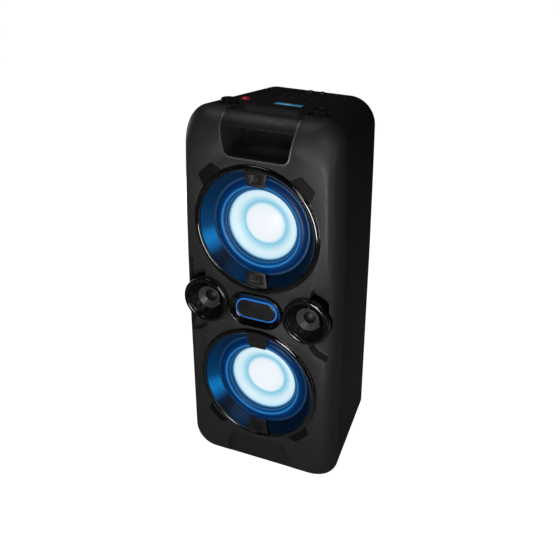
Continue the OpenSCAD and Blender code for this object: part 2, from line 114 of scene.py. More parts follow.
def fillet(pts, r, seg=5, closed=True):
    """Rounds the corners of a 2-D outline. r is one radius, or one per point."""
    n = len(pts)
    out = []
    for i, p in enumerate(pts):
        rr = r[i] if isinstance(r, (list, tuple)) else r
        if (not closed and i in (0, n - 1)) or rr <= 0:
            out.append(tuple(p)); continue
        p = Vector(p); a = Vector(pts[(i - 1) % n]); b = Vector(pts[(i + 1) % n])
        u, v = (a - p), (b - p)
        lu, lv = u.length, v.length
        if lu < 1e-9 or lv < 1e-9:
            out.append(tuple(p)); continue
        u, v = u / lu, v / lv
        ang = math.acos(max(-1, min(1, u.dot(v))))
        if ang > math.pi - 0.02 or ang < 0.02:
            out.append(tuple(p)); continue
        t = min(rr / math.tan(ang / 2), lu * 0.48, lv * 0.48)
        rad = t * math.tan(ang / 2)
        s, e = p + u * t, p + v * t
        c = p + (u + v).normalized() * (rad / math.sin(ang / 2))
        a0 = math.atan2(s.y - c.y, s.x - c.x); a1 = math.atan2(e.y - c.y, e.x - c.x)
        while a1 - a0 > math.pi: a1 -= 2 * math.pi
        while a1 - a0 < -math.pi: a1 += 2 * math.pi
        for k in range(seg + 1):
            t2 = a0 + (a1 - a0) * k / seg
            out.append((c.x + rad * math.cos(t2), c.y + rad * math.sin(t2)))
    return out


def spline(pts, sub=6, closed=False):
    """Catmull-Rom curve through 2-D points."""
    n = len(pts); out = []
    rng = range(n) if closed else range(n - 1)
    for i in rng:
        p0 = Vector(pts[(i - 1) % n] if closed or i > 0 else pts[0]); p1 = Vector(pts[i])
        p2 = Vector(pts[(i + 1) % n]); p3 = Vector(pts[(i + 2) % n] if closed or i + 2 < n else pts[-1])
        for k in range(sub):
            t = k / sub
            q = 0.5 * ((2 * p1) + (p2 - p0) * t + (2 * p0 - 5 * p1 + 4 * p2 - p3) * t * t + (3 * p1 - p0 - 3 * p2 + p3) * t ** 3)
            out.append((q.x, q.y))
    if not closed:
        out.append(tuple(pts[-1]))
    return out


def lathe_raw(cx, cz, prof, n=160, closed=True, a0=0.0, a1=360.0):
    """A turned shape about the line through (cx, FY, cz) along Y. prof is [(r, depth), ...]."""
    verts, faces, rings = [], [], []
    full = abs(a1 - a0) >= 360
    m = n if full else n + 1
    for r, d in prof:
        if r < 1e-6:
            rings.append([len(verts)]); verts.append((cx, FY + d, cz))
        else:
            s = len(verts)
            for i in range(m):
                t = math.radians(a0 + (a1 - a0) * i / n)
                verts.append((cx + r * math.cos(t), FY + d, cz + r * math.sin(t)))
            rings.append(list(range(s, s + m)))
    k = len(prof)
    for j in range(k if closed else k - 1):
        A, B = rings[j], rings[(j + 1) % k]
        if len(A) == 1 and len(B) == 1:
            continue
        for i in range(n if full else n):
            i2 = (i + 1) % m
            if not full and i == n:
                continue
            if len(A) == 1:
                faces.append((A[0], B[i], B[i2]))
            elif len(B) == 1:
                faces.append((A[i], B[0], A[i2]))
            else:
                faces.append((A[i], B[i], B[i2], A[i2]))
    if not full and closed:
        faces.append([r[0] for r in rings]); faces.append([r[-1] for r in rings][::-1])
    return verts, faces


def lathe(name, cx, cz, prof, mats, n=160, closed=True, angle=32.0, **kw):
    v, f = lathe_raw(cx, cz, prof, n, closed, **kw)
    return new_obj(name, v, f, mats, angle)


def prism(name, outline, d0, d1, mats=(), edge=0.0, seg=3, axis="y", angle=32.0, back_edge=0.0):
    """An outline pushed between two depths, with its front edge rounded by edge."""
    n = len(outline)
    # inward offset of the outline for the rounded edge
    area = sum(outline[i][0] * outline[(i + 1) % n][1] - outline[(i + 1) % n][0] * outline[i][1] for i in range(n))
    sgn = 1 if area > 0 else -1

    def off(g):
        res = []
        for i in range(n):
            p = Vector(outline[i]); a = Vector(outline[(i - 1) % n]); b = Vector(outline[(i + 1) % n])
            e1 = (p - a); e2 = (b - p)
            if e1.length < 1e-9: e1 = e2
            if e2.length < 1e-9: e2 = e1
            e1.normalize(); e2.normalize()
            n1 = Vector((-e1.y, e1.x)) * sgn; n2 = Vector((-e2.y, e2.x)) * sgn
            m = n1 + n2
            m = m.normalized() if m.length > 1e-6 else n1
            c = max(0.35, m.dot(n1))
            q = p + m * (g / c)
            res.append((q.x, q.y))
        return res
    levels = []
    if edge > 0:
        for k in range(seg + 1):
            t = math.radians(90 * k / seg)
            levels.append((off(edge * (1 - math.sin(t))), d0 + edge * (1 - math.cos(t))))
    else:
        levels.append((outline, d0))
    if back_edge > 0:
        for k in range(seg + 1):
            t = math.radians(90 * k / seg)
            levels.append((off(back_edge * (1 - math.cos(t))), d1 - back_edge * (1 - math.sin(t))))
    else:
        levels.append((outline, d1))
    verts, faces = [], []
    for pts, d in levels:
        for x, y in pts:
            verts.append((x, FY + d, y) if axis == "y" else (x, y, d))
    for j in range(len(levels) - 1):
        for i in range(n):
            i2 = (i + 1) % n
            faces.append((j * n + i, j * n + i2, (j + 1) * n + i2, (j + 1) * n + i))
    faces.append(list(range(n)))
    faces.append([(len(levels) - 1) * n + i for i in range(n)][::-1])
    return new_obj(name, verts, faces, mats, angle)


def loft(name, slices, mats=(), angle=32.0):
    """slices: [(depth, outline)] with equal point counts, capped at both ends."""
    n = len(slices[0][1]); verts, faces = [], []
    for d, pts in slices:
        verts += [(x, FY + d, z) for x, z in pts]
    for j in range(len(slices) - 1):
        for i in range(n):
            i2 = (i + 1) % n
            faces.append((j * n + i, j * n + i2, (j + 1) * n + i2, (j + 1) * n + i))
    faces.append(list(range(n)))
    faces.append([(len(slices) - 1) * n + i for i in range(n)][::-1])
    return new_obj(name, verts, faces, mats, angle)


def apply_all(ob):
    dg = bpy.context.evaluated_depsgraph_get()
    me = bpy.data.meshes.new_from_object(ob.evaluated_get(dg))
    ob.modifiers.clear()
    old = ob.data
    ob.data = me
    if old.users == 0:
        bpy.data.meshes.remove(old)
    return ob


def boolean(ob, tools, op="DIFFERENCE"):
    for t in tools:
        m = ob.modifiers.new("b", "BOOLEAN"); m.object = t; m.operation = op; m.solver = "EXACT"
        bpy.context.view_layer.update()
        apply_all(ob)
    for t in tools:
        bpy.data.objects.remove(t)
    return ob


def join(name, obs):
    base = obs[0]
    bm = bmesh.new()
    mats = []
    for o in obs:
        tmp = bmesh.new(); tmp.from_mesh(o.data)
        idx = []
        for m in o.data.materials:
            if m not in mats:
                mats.append(m)
            idx.append(mats.index(m))
        for f in tmp.faces:
            f.material_index = idx[f.material_index] if idx else 0
        tmp.transform(o.matrix_world)
        me = bpy.data.meshes.new("t"); tmp.to_mesh(me); tmp.free()
        bm.from_mesh(me); bpy.data.meshes.remove(me)
    me = bpy.data.meshes.new(name); bm.to_mesh(me); bm.free()
    for m in mats:
        me.materials.append(m)
    ob = bpy.data.objects.new(name, me)
    bpy.context.scene.collection.objects.link(ob)
    for o in obs:
        bpy.data.objects.remove(o)
    return ob


def soften(ob, width=0.6, seg=2, sharp=35.0, merge=0.02, dissolve=0.4, angle=32.0, where=None):
    """Cleans a cut mesh and rounds its sharp edges."""
    bm = bmesh.new(); bm.from_mesh(ob.data)
    bmesh.ops.remove_doubles(bm, verts=bm.verts[:], dist=merge * MM)
    bmesh.ops.dissolve_limit(bm, angle_limit=math.radians(dissolve), verts=bm.verts[:], edges=bm.edges[:])
    lim = math.radians(sharp)
    es = [e for e in bm.edges if len(e.link_faces) == 2 and e.calc_face_angle(0) > lim and (where is None or where(e))]
    if es and width > 0:
        bmesh.ops.bevel(bm, geom=es, offset=width * MM, segments=seg, profile=0.5, affect="EDGES", clamp_overlap=True)
    bmesh.ops.recalc_face_normals(bm, faces=bm.faces[:])
    bm.to_mesh(ob.data); bm.free()
    finish_mesh(ob, angle)
    return ob


def top_frame(x, d, h=0.0):
    """Matrix that stands something on the sloping top, square to it."""
    z = 725 + (706 - 725) * (d - 46) / 212
    return Matrix.Translation(Vector((x, FY + d, z)) * MM) @ Matrix.Rotation(-TOP_A, 4, "X") @ Matrix.Translation(Vector((0, 0, h * MM)))


def on_top(ob, x, d, h=0.0):
    ob.data.transform(top_frame(x, d, h))
    return ob


def turned_z(name, prof, mats, n=64, closed=True, angle=32.0):
    """A turned shape about Z; prof is [(r, z), ...]."""
    verts, faces, rings = [], [], []
    for r, z in prof:
        if r < 1e-6:
            rings.append([len(verts)]); verts.append((0, 0, z))
        else:
            s = len(verts)
            verts += [(r * math.cos(2 * math.pi * i / n), r * math.sin(2 * math.pi * i / n), z) for i in range(n)]
            rings.append(list(range(s, s + n)))
    k = len(prof)
    for j in range(k if closed else k - 1):
        A, B = rings[j], rings[(j + 1) % k]
        if len(A) == 1 and len(B) == 1:
            continue
        for i in range(n):
            i2 = (i + 1) % n
            if len(A) == 1: faces.append((A[0], B[i], B[i2]))
            elif len(B) == 1: faces.append((A[i], B[0], A[i2]))
            else: faces.append((A[i], B[i], B[i2], A[i2]))
    return new_obj(name, verts, faces, mats, angle)


def round_rect(w, l, r, n=6):
    return (arc(w / 2 - r, l / 2 - r, r, 0, 90, n) + arc(-w / 2 + r, l / 2 - r, r, 90, 180, n)
            + arc(-w / 2 + r, -l / 2 + r, r, 180, 270, n) + arc(w / 2 - r, -l / 2 + r, r, 270, 360, n))


# ------------------------------------------------------------------ materials
def material(name):
    m = bpy.data.materials.new(name)
    m.use_nodes = True
    nt = m.node_tree
    b = nt.nodes["Principled BSDF"]
    return m, nt, b


def node(nt, kind, **kw):
    n = nt.nodes.new(kind)
    for k, v in kw.items():
        if k in n.inputs.keys():
            n.inputs[k].default_value = v
        else:
            setattr(n, k, v)
    return n


def coords(nt):
    return nt.nodes.new("ShaderNodeTexCoord").outputs["Object"]


def noise(nt, scale, detail=3.0, rough=0.55, vec=None):
    n = nt.nodes.new("ShaderNodeTexNoise")
    n.inputs["Scale"].default_value = scale
    n.inputs["Detail"].default_value = detail
    n.inputs["Roughness"].default_value = rough
    nt.links.new(vec if vec is not None else coords(nt), n.inputs["Vector"])
    return n.outputs["Fac"]


def remap(nt, src, a, b, lo=0.3, hi=0.7):
    n = nt.nodes.new("ShaderNodeMapRange")
    n.inputs["From Min"].default_value = lo; n.inputs["From Max"].default_value = hi
    n.inputs["To Min"].default_value = a; n.inputs["To Max"].default_value = b
    nt.links.new(src, n.inputs["Value"])
    return n.outputs["Result"]


def ramp(nt, src, stops, interp="LINEAR"):
    n = nt.nodes.new("ShaderNodeValToRGB")
    cr = n.color_ramp
    cr.interpolation = interp
    while len(cr.elements) > 1:
        cr.elements.remove(cr.elements[-1])
    cr.elements[0].position = stops[0][0]; cr.elements[0].color = (*stops[0][1], 1)
    for p, c in stops[1:]:
        e = cr.elements.new(p); e.color = (*c, 1)
    nt.links.new(src, n.inputs["Fac"])
    return n.outputs["Color"]


def mixc(nt, fac, a, b):
    n = nt.nodes.new("ShaderNodeMix"); n.data_type = "RGBA"
    for s, v in (("Factor", fac), ("A", a), ("B", b)):
        sock = [i for i in n.inputs if i.name == s and i.enabled][0] if s != "Factor" else n.inputs[0]
        if hasattr(v, "is_output") or isinstance(v, bpy.types.NodeSocket):
            nt.links.new(v, sock)
        else:
            sock.default_value = v if s == "Factor" else (*v, 1)
    return [o for o in n.outputs if o.enabled][0]


def bump(nt, height, strength, distance):
    n = nt.nodes.new("ShaderNodeBump")
    n.inputs["Strength"].default_value = strength
    n.inputs["Distance"].default_value = distance
    nt.links.new(height, n.inputs["Height"])
    return n.outputs["Normal"]


def math_node(nt, op, a, b=None):
    n = nt.nodes.new("ShaderNodeMath"); n.operation = op
    for i, v in enumerate((a, b)):
        if v is None: continue
        if isinstance(v, bpy.types.NodeSocket): nt.links.new(v, n.inputs[i])
        else: n.inputs[i].default_value = v
    return n.outputs[0]


def lin(c):
    """sRGB 0-255 to linear."""
    return tuple((x / 255 / 12.92) if x / 255 <= 0.04045 else ((x / 255 + 0.055) / 1.055) ** 2.4 for x in c)


def plastic(name, base, rough=0.5, grain=900.0, depth=0.00012, strength=0.35, vary=0.10, spec=0.5, rvar=0.06):
    """Moulded plastic with a fine spark-eroded grain, a slow mottling of tone and uneven sheen."""
    m, nt, b = material(name)
    co = coords(nt)
    fine = noise(nt, grain, 3.0, 0.6, co)
    slow = noise(nt, 14.0, 4.0, 0.6, co)
    mid_ = noise(nt, 120.0, 3.0, 0.6, co)
    lo = tuple(x * (1 - vary) for x in base); hi = tuple(min(1, x * (1 + vary)) for x in base)
    c1 = ramp(nt, slow, [(0.30, lo), (0.70, hi)])
    c2 = mixc(nt, remap(nt, fine, 0.0, 0.35), c1, tuple(x * 1.5 + 0.002 for x in base))
    nt.links.new(c2, b.inputs["Base Color"])
    nt.links.new(remap(nt, mid_, rough - rvar, rough + rvar), b.inputs["Roughness"])
    nt.links.new(bump(nt, fine, strength, depth), b.inputs["Normal"])
    b.inputs["Specular IOR Level"].default_value = spec
    return m


def gloss(name, base, rough=0.07, coat=1.0, spec=0.5):
    """Piano-black plastic: clear top, faint polishing haze."""
    m, nt, b = material(name)
    co = coords(nt)
    haze = noise(nt, 35.0, 5.0, 0.65, co)
    peel = noise(nt, 260.0, 2.0, 0.5, co)
    c = ramp(nt, haze, [(0.3, tuple(x * 0.8 for x in base)), (0.7, tuple(x * 1.3 + 0.0005 for x in base))])
    nt.links.new(c, b.inputs["Base Color"])
    nt.links.new(remap(nt, haze, rough * 0.7, rough * 1.6), b.inputs["Roughness"])
    nt.links.new(bump(nt, peel, 0.05, 0.00006), b.inputs["Normal"])
    b.inputs["Coat Weight"].default_value = coat
    b.inputs["Coat Roughness"].default_value = 0.03
    b.inputs["Specular IOR Level"].default_value = spec
    return m


def metal(name, base, rough=0.3, grain=500.0, axis="x", strength=0.08, metallic=1.0):
    m, nt, b = material(name)
    co = coords(nt)
    mp = nt.nodes.new("ShaderNodeMapping")
    mp.inputs["Scale"].default_value = (0.04, 1, 1) if axis == "x" else (1, 1, 0.04)
    nt.links.new(co, mp.inputs["Vector"])
    n = noise(nt, grain, 4.0, 0.6, mp.outputs["Vector"])
    c = ramp(nt, n, [(0.3, tuple(x * 0.85 for x in base)), (0.7, tuple(min(1, x * 1.12) for x in base))])
    nt.links.new(c, b.inputs["Base Color"])
    nt.links.new(remap(nt, n, rough * 0.8, rough * 1.25), b.inputs["Roughness"])
    nt.links.new(bump(nt, n, strength, 0.0001), b.inputs["Normal"])
    b.inputs["Metallic"].default_value = metallic
    return m


def radial(nt, cx, cz):
    """Distance from a woofer's axis, in metres, and the angle about it, 0 to 1 from -X anticlockwise."""
    co = coords(nt)
    mp = nt.nodes.new("ShaderNodeMapping")
    mp.inputs["Location"].default_value = (-cx * MM, 0, -cz * MM)
    nt.links.new(co, mp.inputs["Vector"])
    sp = nt.nodes.new("ShaderNodeSeparateXYZ")
    nt.links.new(mp.outputs["Vector"], sp.inputs["Vector"])
    x, z = sp.outputs["X"], sp.outputs["Z"]
    r = math_node(nt, "SQRT", math_node(nt, "ADD", math_node(nt, "MULTIPLY", x, x), math_node(nt, "MULTIPLY", z, z)))
    a = math_node(nt, "ARCTAN2", z, x)
    a01 = math_node(nt, "ADD", math_node(nt, "DIVIDE", a, 2 * math.pi), 0.5)
    return r, a01, sp


def painted_glow(name, cz, stops, r1, strength=1.0, base=(0.5, 0.6, 0.65), rough=0.45, cx=0.0, body_mix=0.0, spec=0.3):
    """A part with painted light: an emission glow that stands in for its light and shade, changing with distance from
    the axis. stops: [(r in mm, sRGB)].
    """
    m, nt, b = material(name)
    r, a, _ = radial(nt, cx, cz)
    wob = noise(nt, 40.0, 2.0, 0.5)
    rn = math_node(nt, "DIVIDE", r, r1 * MM)
    rn2 = math_node(nt, "ADD", rn, math_node(nt, "MULTIPLY", math_node(nt, "SUBTRACT", wob, 0.5), 0.006))
    c = ramp(nt, rn2, [(q / r1, lin(col)) for q, col in stops])
    nt.links.new(c, b.inputs["Emission Color"])
    b.inputs["Emission Strength"].default_value = strength
    b.inputs["Base Color"].default_value = (*base, 1)
    nt.links.new(remap(nt, wob, rough * 0.9, rough * 1.1), b.inputs["Roughness"])
    b.inputs["Specular IOR Level"].default_value = spec
    return m


M = {}
M["front"] = plastic("front_shell_plastic", (0.026, 0.0262, 0.0268), rough=0.52, grain=1100, depth=0.00010, strength=0.45, vary=0.06, spec=0.45)
M["cab"] = plastic("cabinet_plastic", (0.012, 0.012, 0.0125), rough=0.55, grain=900, depth=0.00014, strength=0.55, vary=0.10, spec=0.40)
M["handle"] = plastic("handle_plastic", (0.009, 0.009, 0.0093), rough=0.46, grain=1500, depth=0.00004, strength=0.25, vary=0.06, spec=0.5)
M["panel"] = plastic("panel_plastic", (0.011, 0.011, 0.0115), rough=0.50, grain=1300, depth=0.00008, strength=0.4, vary=0.08)
M["pocket"] = plastic("pocket_plastic", (0.020, 0.020, 0.0204), rough=0.70, grain=1200, depth=0.00008, strength=0.35, vary=0.08, spec=0.18)
M["lug"] = plastic("lug_plastic", (0.0045, 0.0040, 0.0038), rough=0.60, grain=1200, depth=0.00006, strength=0.3, vary=0.08, spec=0.2)
M["clip"] = plastic("clip_plastic", (0.0105, 0.0097, 0.0092), rough=0.42, grain=1400, depth=0.00005, strength=0.3, vary=0.10)
M["gloss"] = gloss("ring_gloss_black", (0.0012, 0.0012, 0.0014), rough=0.09)
M["gloss2"] = gloss("badge_gloss_black", (0.0012, 0.0012, 0.0015), rough=0.14, coat=0.25)
M["horn"] = gloss("horn_black", (0.002, 0.002, 0.0023), rough=0.13, coat=0.6)
M["bowl"] = plastic("bowl_plastic", (0.002, 0.002, 0.0023), rough=0.46, grain=1500, depth=0.00004, strength=0.2, vary=0.08, spec=0.22)
M["phase"] = plastic("phase_ring_grey", (0.050, 0.051, 0.052), rough=0.34, grain=1400, depth=0.00003, strength=0.2, vary=0.10)
M["dome"] = plastic("dome_membrane", (0.004, 0.004, 0.0045), rough=0.50, grain=2500, depth=0.00008, strength=0.6, vary=0.15)
M["knob"] = plastic("knob_plastic", (0.0075, 0.0075, 0.008), rough=0.44, grain=1400, depth=0.00005, strength=0.3, vary=0.10, spec=0.28)
M["rknob"] = gloss("rear_knob_plastic", (0.020, 0.020, 0.022), rough=0.28, coat=0.3)
M["button"] = plastic("button_plastic", (0.020, 0.020, 0.021), rough=0.42, grain=1400, depth=0.00005, strength=0.3, vary=0.10)
M["rubber"] = plastic("foot_rubber", (0.010, 0.010, 0.010), rough=0.85, grain=700, depth=0.0002, strength=0.6, vary=0.15, spec=0.2)
M["rear"] = plastic("rear_panel_coat", (0.014, 0.014, 0.015), rough=0.58, grain=1600, depth=0.00012, strength=0.7, vary=0.08, spec=0.4)
M["socket"] = plastic("socket_plastic", (0.010, 0.010, 0.010), rough=0.40, grain=1500, depth=0.00004, strength=0.25, vary=0.08)
M["steel"] = metal("screw_black_zinc", (0.10, 0.10, 0.105), rough=0.32)
M["nickel"] = metal("contact_nickel", (0.55, 0.53, 0.50), rough=0.28)
M["basket"] = metal("basket_black_paint", (0.03, 0.03, 0.031), rough=0.5, metallic=0.0)
M["magnet"] = metal("magnet_ferrite", (0.05, 0.05, 0.055), rough=0.6, metallic=0.2)
M["copper"] = metal("voice_coil_copper", (0.70, 0.32, 0.14), rough=0.3, axis="z")


def weave(name, base, scale=900.0):
    m, nt, b = material(name)
    co = coords(nt)
    w1 = nt.nodes.new("ShaderNodeTexWave"); w1.bands_direction = "X"; w1.inputs["Scale"].default_value = scale
    w2 = nt.nodes.new("ShaderNodeTexWave"); w2.bands_direction = "Z"; w2.inputs["Scale"].default_value = scale
    nt.links.new(co, w1.inputs["Vector"]); nt.links.new(co, w2.inputs["Vector"])
    h = math_node(nt, "MAXIMUM", w1.outputs["Fac"], w2.outputs["Fac"])
    nt.links.new(ramp(nt, h, [(0.2, tuple(x * 0.5 for x in base)), (0.9, base)]), b.inputs["Base Color"])
    nt.links.new(bump(nt, h, 0.6, 0.0002), b.inputs["Normal"])
    b.inputs["Roughness"].default_value = 0.9
    return m


def circuit(name):
    m, nt, b = material(name)
    co = coords(nt)
    v = nt.nodes.new("ShaderNodeTexVoronoi"); v.inputs["Scale"].default_value = 90.0
    nt.links.new(co, v.inputs["Vector"])
    c = ramp(nt, v.outputs["Distance"], [(0.05, (0.30, 0.28, 0.22)), (0.10, (0.01, 0.09, 0.04)), (0.6, (0.012, 0.12, 0.05))])
    nt.links.new(c, b.inputs["Base Color"])
    nt.links.new(remap(nt, noise(nt, 60.0), 0.3, 0.5), b.inputs["Roughness"])
    return m


M["spider"] = weave("spider_cloth", (0.40, 0.25, 0.08))
M["circuit"] = circuit("circuit_board")

# painted light on the woofer cones, caps and surrounds: glow colours with painted shade at the cone's edge and painted
# highlights on the surround's ridges
CAP_PAINTED_GLOW = [(0, (243, 248, 253)), (19.4, (242, 248, 253)), (20.2, (222, 243, 250)), (21.0, (242, 248, 253)), (33, (234, 243, 250)), (36, (214, 236, 247)), (38, (172, 220, 240)), (40.8, (135, 195, 220))]
CONE_PAINTED_GLOW = [(40.0, (132, 192, 218)), (41.4, (140, 200, 222)), (43, (150, 210, 232)), (47.5, (176, 222, 240)), (53, (212, 237, 247)), (59, (219, 240, 249)), (63, (200, 232, 247)), (65, (150, 205, 232)), (66.5, (40, 100, 145)), (68.6, (5, 60, 100)), (69.8, (5, 50, 90))]
SURR_PAINTED_GLOW = [(67.0, (4, 40, 70)), (68.4, (2, 50, 92)), (69.2, (44, 104, 156)), (70.2, (8, 62, 116)), (72.5, (0, 66, 121)), (74.2, (14, 96, 160)), (75.6, (58, 150, 216)), (77.0, (14, 88, 150)),
        (79.0, (2, 52, 106)), (82, (0, 40, 90)), (86, (1, 38, 86)), (88.4, (1, 34, 76)), (93.6, (3, 46, 92))]


def surround_mat(name, cz):
    m, nt, b = material(name)
    r, a, _ = radial(nt, 0.0, cz)
    rn = math_node(nt, "DIVIDE", r, 100 * MM)
    # painted light: the surround glows though it is no lamp, with painted highlights on its ridges
    c = ramp(nt, rn, [(q / 100, lin(col)) for q, col in SURR_PAINTED_GLOW])
    # painted glow, a little stronger low on the ring and weaker at the top
    g = ramp(nt, a, [(0.0, (0.9, 0.9, 0.9)), (0.25, (1.0, 1.0, 1.0)), (0.5, (0.85, 0.85, 0.85)), (0.75, (0.8, 0.8, 0.8)), (1.0, (0.9, 0.9, 0.9))])
    mul = nt.nodes.new("ShaderNodeMix"); mul.data_type = "RGBA"; mul.blend_type = "MULTIPLY"; mul.inputs[0].default_value = 1.0
    nt.links.new(c, mul.inputs[6]); nt.links.new(g, mul.inputs[7])
    nt.links.new(mul.outputs[2], b.inputs["Emission Color"])
    b.inputs["Emission Strength"].default_value = 0.95
    b.inputs["Base Color"].default_value = (0.0004, 0.006, 0.02, 1)
    nt.links.new(remap(nt, noise(nt, 300.0), 0.30, 0.42), b.inputs["Roughness"])
    b.inputs["Specular IOR Level"].default_value = 0.22
    nt.links.new(bump(nt, noise(nt, 1500.0), 0.15, 0.00004), b.inputs["Normal"])
    return m


def reflector_mat(name, cz):
    """Metallised blue reflector. Its glow is painted light: painted reflections and shade, brighter and darker in
    patches round the ring.
    """
    m, nt, b = material(name)
    r, a, _ = radial(nt, 0.0, cz)
    # painted reflection and shade: emission colours that change with the angle round the ring
    g = ramp(nt, a, [(0.0, lin((0, 52, 93))), (0.020, lin((2, 62, 108))), (0.042, lin((10, 110, 175))), (0.060, lin((14, 118, 184))), (0.083, lin((5, 85, 147))), (0.103, lin((0, 24, 48))), (0.122, lin((0, 2, 6))), (0.135, lin((0, 4, 10))),
                     (0.158, lin((3, 30, 56))), (0.19, lin((4, 34, 62))), (0.235, lin((1, 16, 34))), (0.27, lin((0, 4, 14))), (0.45, lin((0, 3, 12))), (0.64, lin((0, 5, 16))), (0.76, lin((2, 20, 42))), (0.88, lin((4, 26, 52))), (0.95, lin((1, 38, 72))), (1.0, lin((0, 52, 93)))])
    nt.links.new(g, b.inputs["Emission Color"])
    b.inputs["Emission Strength"].default_value = 0.95
    mp = noise(nt, 30.0, 3.0)
    nt.links.new(ramp(nt, mp, [(0.3, (0.0008, 0.007, 0.018)), (0.7, (0.0012, 0.010, 0.026))]), b.inputs["Base Color"])
    b.inputs["Metallic"].default_value = 0.0
    b.inputs["Specular IOR Level"].default_value = 0.12
    nt.links.new(remap(nt, noise(nt, 200.0), 0.40, 0.50), b.inputs["Roughness"])
    return m


W = {"upper": UP_Z, "lower": LOW_Z}
for w, z in W.items():
    # the caps and cones glow with painted light, which stands in for their light and shade
    M[w + "_cap"] = painted_glow(w + "_cap_painted_glow", z, CAP_PAINTED_GLOW, 41.0, 0.97, base=(0.02, 0.02, 0.02), rough=0.4)
    M[w + "_cone"] = painted_glow(w + "_cone_painted_glow", z, CONE_PAINTED_GLOW, 70.0, 0.97, base=(0.02, 0.02, 0.02), rough=0.4)
    M[w + "_surround"] = surround_mat(w + "_surround_rubber", z)
    M[w + "_reflector"] = reflector_mat(w + "_reflector_blue", z)


def glow(name, col, strength=1.0, base=(0.01, 0.02, 0.03), rough=0.25, coat=0.0):
    m, nt, b = material(name)
    n = noise(nt, 90.0, 2.0)
    c = ramp(nt, n, [(0.3, tuple(x * 0.85 for x in lin(col))), (0.7, tuple(min(1, x * 1.1) for x in lin(col)))])
    nt.links.new(c, b.inputs["Emission Color"])
    b.inputs["Emission Strength"].default_value = strength
    b.inputs["Base Color"].default_value = (*base, 1)
    nt.links.new(remap(nt, n, rough * 0.8, rough * 1.2), b.inputs["Roughness"])
    b.inputs["Coat Weight"].default_value = coat
    return m


M["diffuser"] = glow("light_ring_diffuser", (4, 44, 84), 0.7, base=(0.01, 0.03, 0.06), rough=0.4)
M["badge_light"] = glow("badge_light_blue", (36, 122, 214), 1.0)
# painted highlight: a much lighter, smoother plastic for the liner's rim and the bar's lower front edge, where light
# catches them
M["edge"] = plastic("handle_edge_painted_highlight", (0.085, 0.085, 0.088), rough=0.30, grain=1500, depth=0.00003, strength=0.15, vary=0.05, spec=0.6)
M["red"] = glow("power_button_red", (128, 10, 22), 0.7, base=(0.35, 0.01, 0.02), rough=0.22, coat=0.5)

# ------------------------------------------------------------------ cabinet: the same form as the CAD, at a finer pitch
FLAT, BACK_W, BEV, CORNER = 133.0, 124.5, 46.0, 41.0
TOP_F, TOP_B, ZT0, ZB0, ZBF, ZBB = 725.0, 706.0, 670.0, 43.0, 6.0, 16.0
WALL, GRIP_Z, GRIP_D = 5.0, 652.0, 74.0
BACK_CORNER, FOOT_R = 50.0, 32.0


def outline(a, zt, zb, rt, rb, k, n=14, side=26):
    zc, h = (zt + zb) / 2, (zt - zb) / 2
    p = arc(a - rt, zt - rt, rt, 0, 90, n) + arc(-a + rt, zt - rt, rt, 90, 180, n)
    p += [(-a, (zt - rt) + ((zb + rb) - (zt - rt)) * i / (side + 1)) for i in range(1, side + 1)]
    p += arc(-a + rb, zb + rb, rb, 180, 270, n) + arc(a - rb, zb + rb, rb, 270, 360, n)
    p += [(a, (zb + rb) + ((zt - rt) - (zb + rb)) * i / (side + 1)) for i in range(1, side + 1)]
    return [(x * (1 - k * (8.0 if z > zc else 2.0) * ((z - zc) / h) ** 2 / a), z) for x, z in p]


def top_z(d): return TOP_F + (TOP_B - TOP_F) * (d - BEV) / (BODY_D - BEV)
def bot_z(d): return ZBF + (ZBB - ZBF) * (d - BEV) / (BODY_D - BEV)
def half_at(d): return HALF_W + (BACK_W - HALF_W) * (d - BEV) / (BODY_D - BEV)


def front_slice(t, g=0.0, d0=0.0):
    s, c = math.sin(math.radians(t)), math.cos(math.radians(t))
    r = 62 + (CORNER - 62) * s - g
    rb = 66 + (FOOT_R - 66) * s - g
    return (d0 + (BEV - d0) * (1 - c),
            outline(FLAT + (HALF_W - FLAT) * s - g, ZT0 + (TOP_F - ZT0) * s ** 0.8 - g, ZB0 + (ZBF - ZB0) * s + g, r, rb, 1))


def rear_slice(d, g=0.0, r=0.0):
    k = max(0, 1 - 0.6 * (d - BEV) / (BODY_D - BEV))
    return (d, outline(half_at(d) - g - r, top_z(d) - g - r, bot_z(d) + g + r, CORNER + (BACK_CORNER - CORNER) * (d - BEV) / (BODY_D - BEV) - g - r, FOOT_R - g - r, k))


def front_form(name="front_form", g=0.0, d0=0.0, seam=True):
    sl = [front_slice(90 * (i / 26) ** 1.5, g, d0) for i in range(27)]
    if seam and g == 0:      # a small radius down into the parting line
        sl = [x for x in sl if x[0] < BEV - 0.9]
        for k in range(4):
            t = math.radians(90 * k / 3)
            sl.append((BEV - 0.8 + 0.5 * math.sin(t), front_slice(90, 0.5 * (1 - math.cos(t)))[1]))
    return loft(name, sl)


def rear_form(name="rear_form"):
    sl = []
    for k in range(4):
        t = math.radians(90 * (1 - k / 3))
        sl.append((BEV + 0.8 - 0.5 * math.sin(t), rear_slice(BEV + 0.3, 0.5 * (1 - math.cos(t)))[1]))
    sl += [rear_slice(BEV + (BODY_D - 6 - BEV) * i / 10) for i in range(1, 11)]
    for k in range(1, 8):
        t = math.radians(90 * k / 7)
        sl.append((BODY_D - 6 + 6 * math.sin(t), rear_slice(BODY_D - 6 + 6 * math.sin(t), 0, 6 * (1 - math.cos(t)))[1]))
    return loft(name, sl)


def grip_outline(g, n=10):
    return ([(68.5 + g, 745), (68 + g, 704)] + arc(46.5, GRIP_Z + 14, 14 + g, -10, -90, n)
            + arc(-46.5, GRIP_Z + 14, 14 + g, 270, 190, n) + [(-68 - g, 704), (-68.5 - g, 745)])


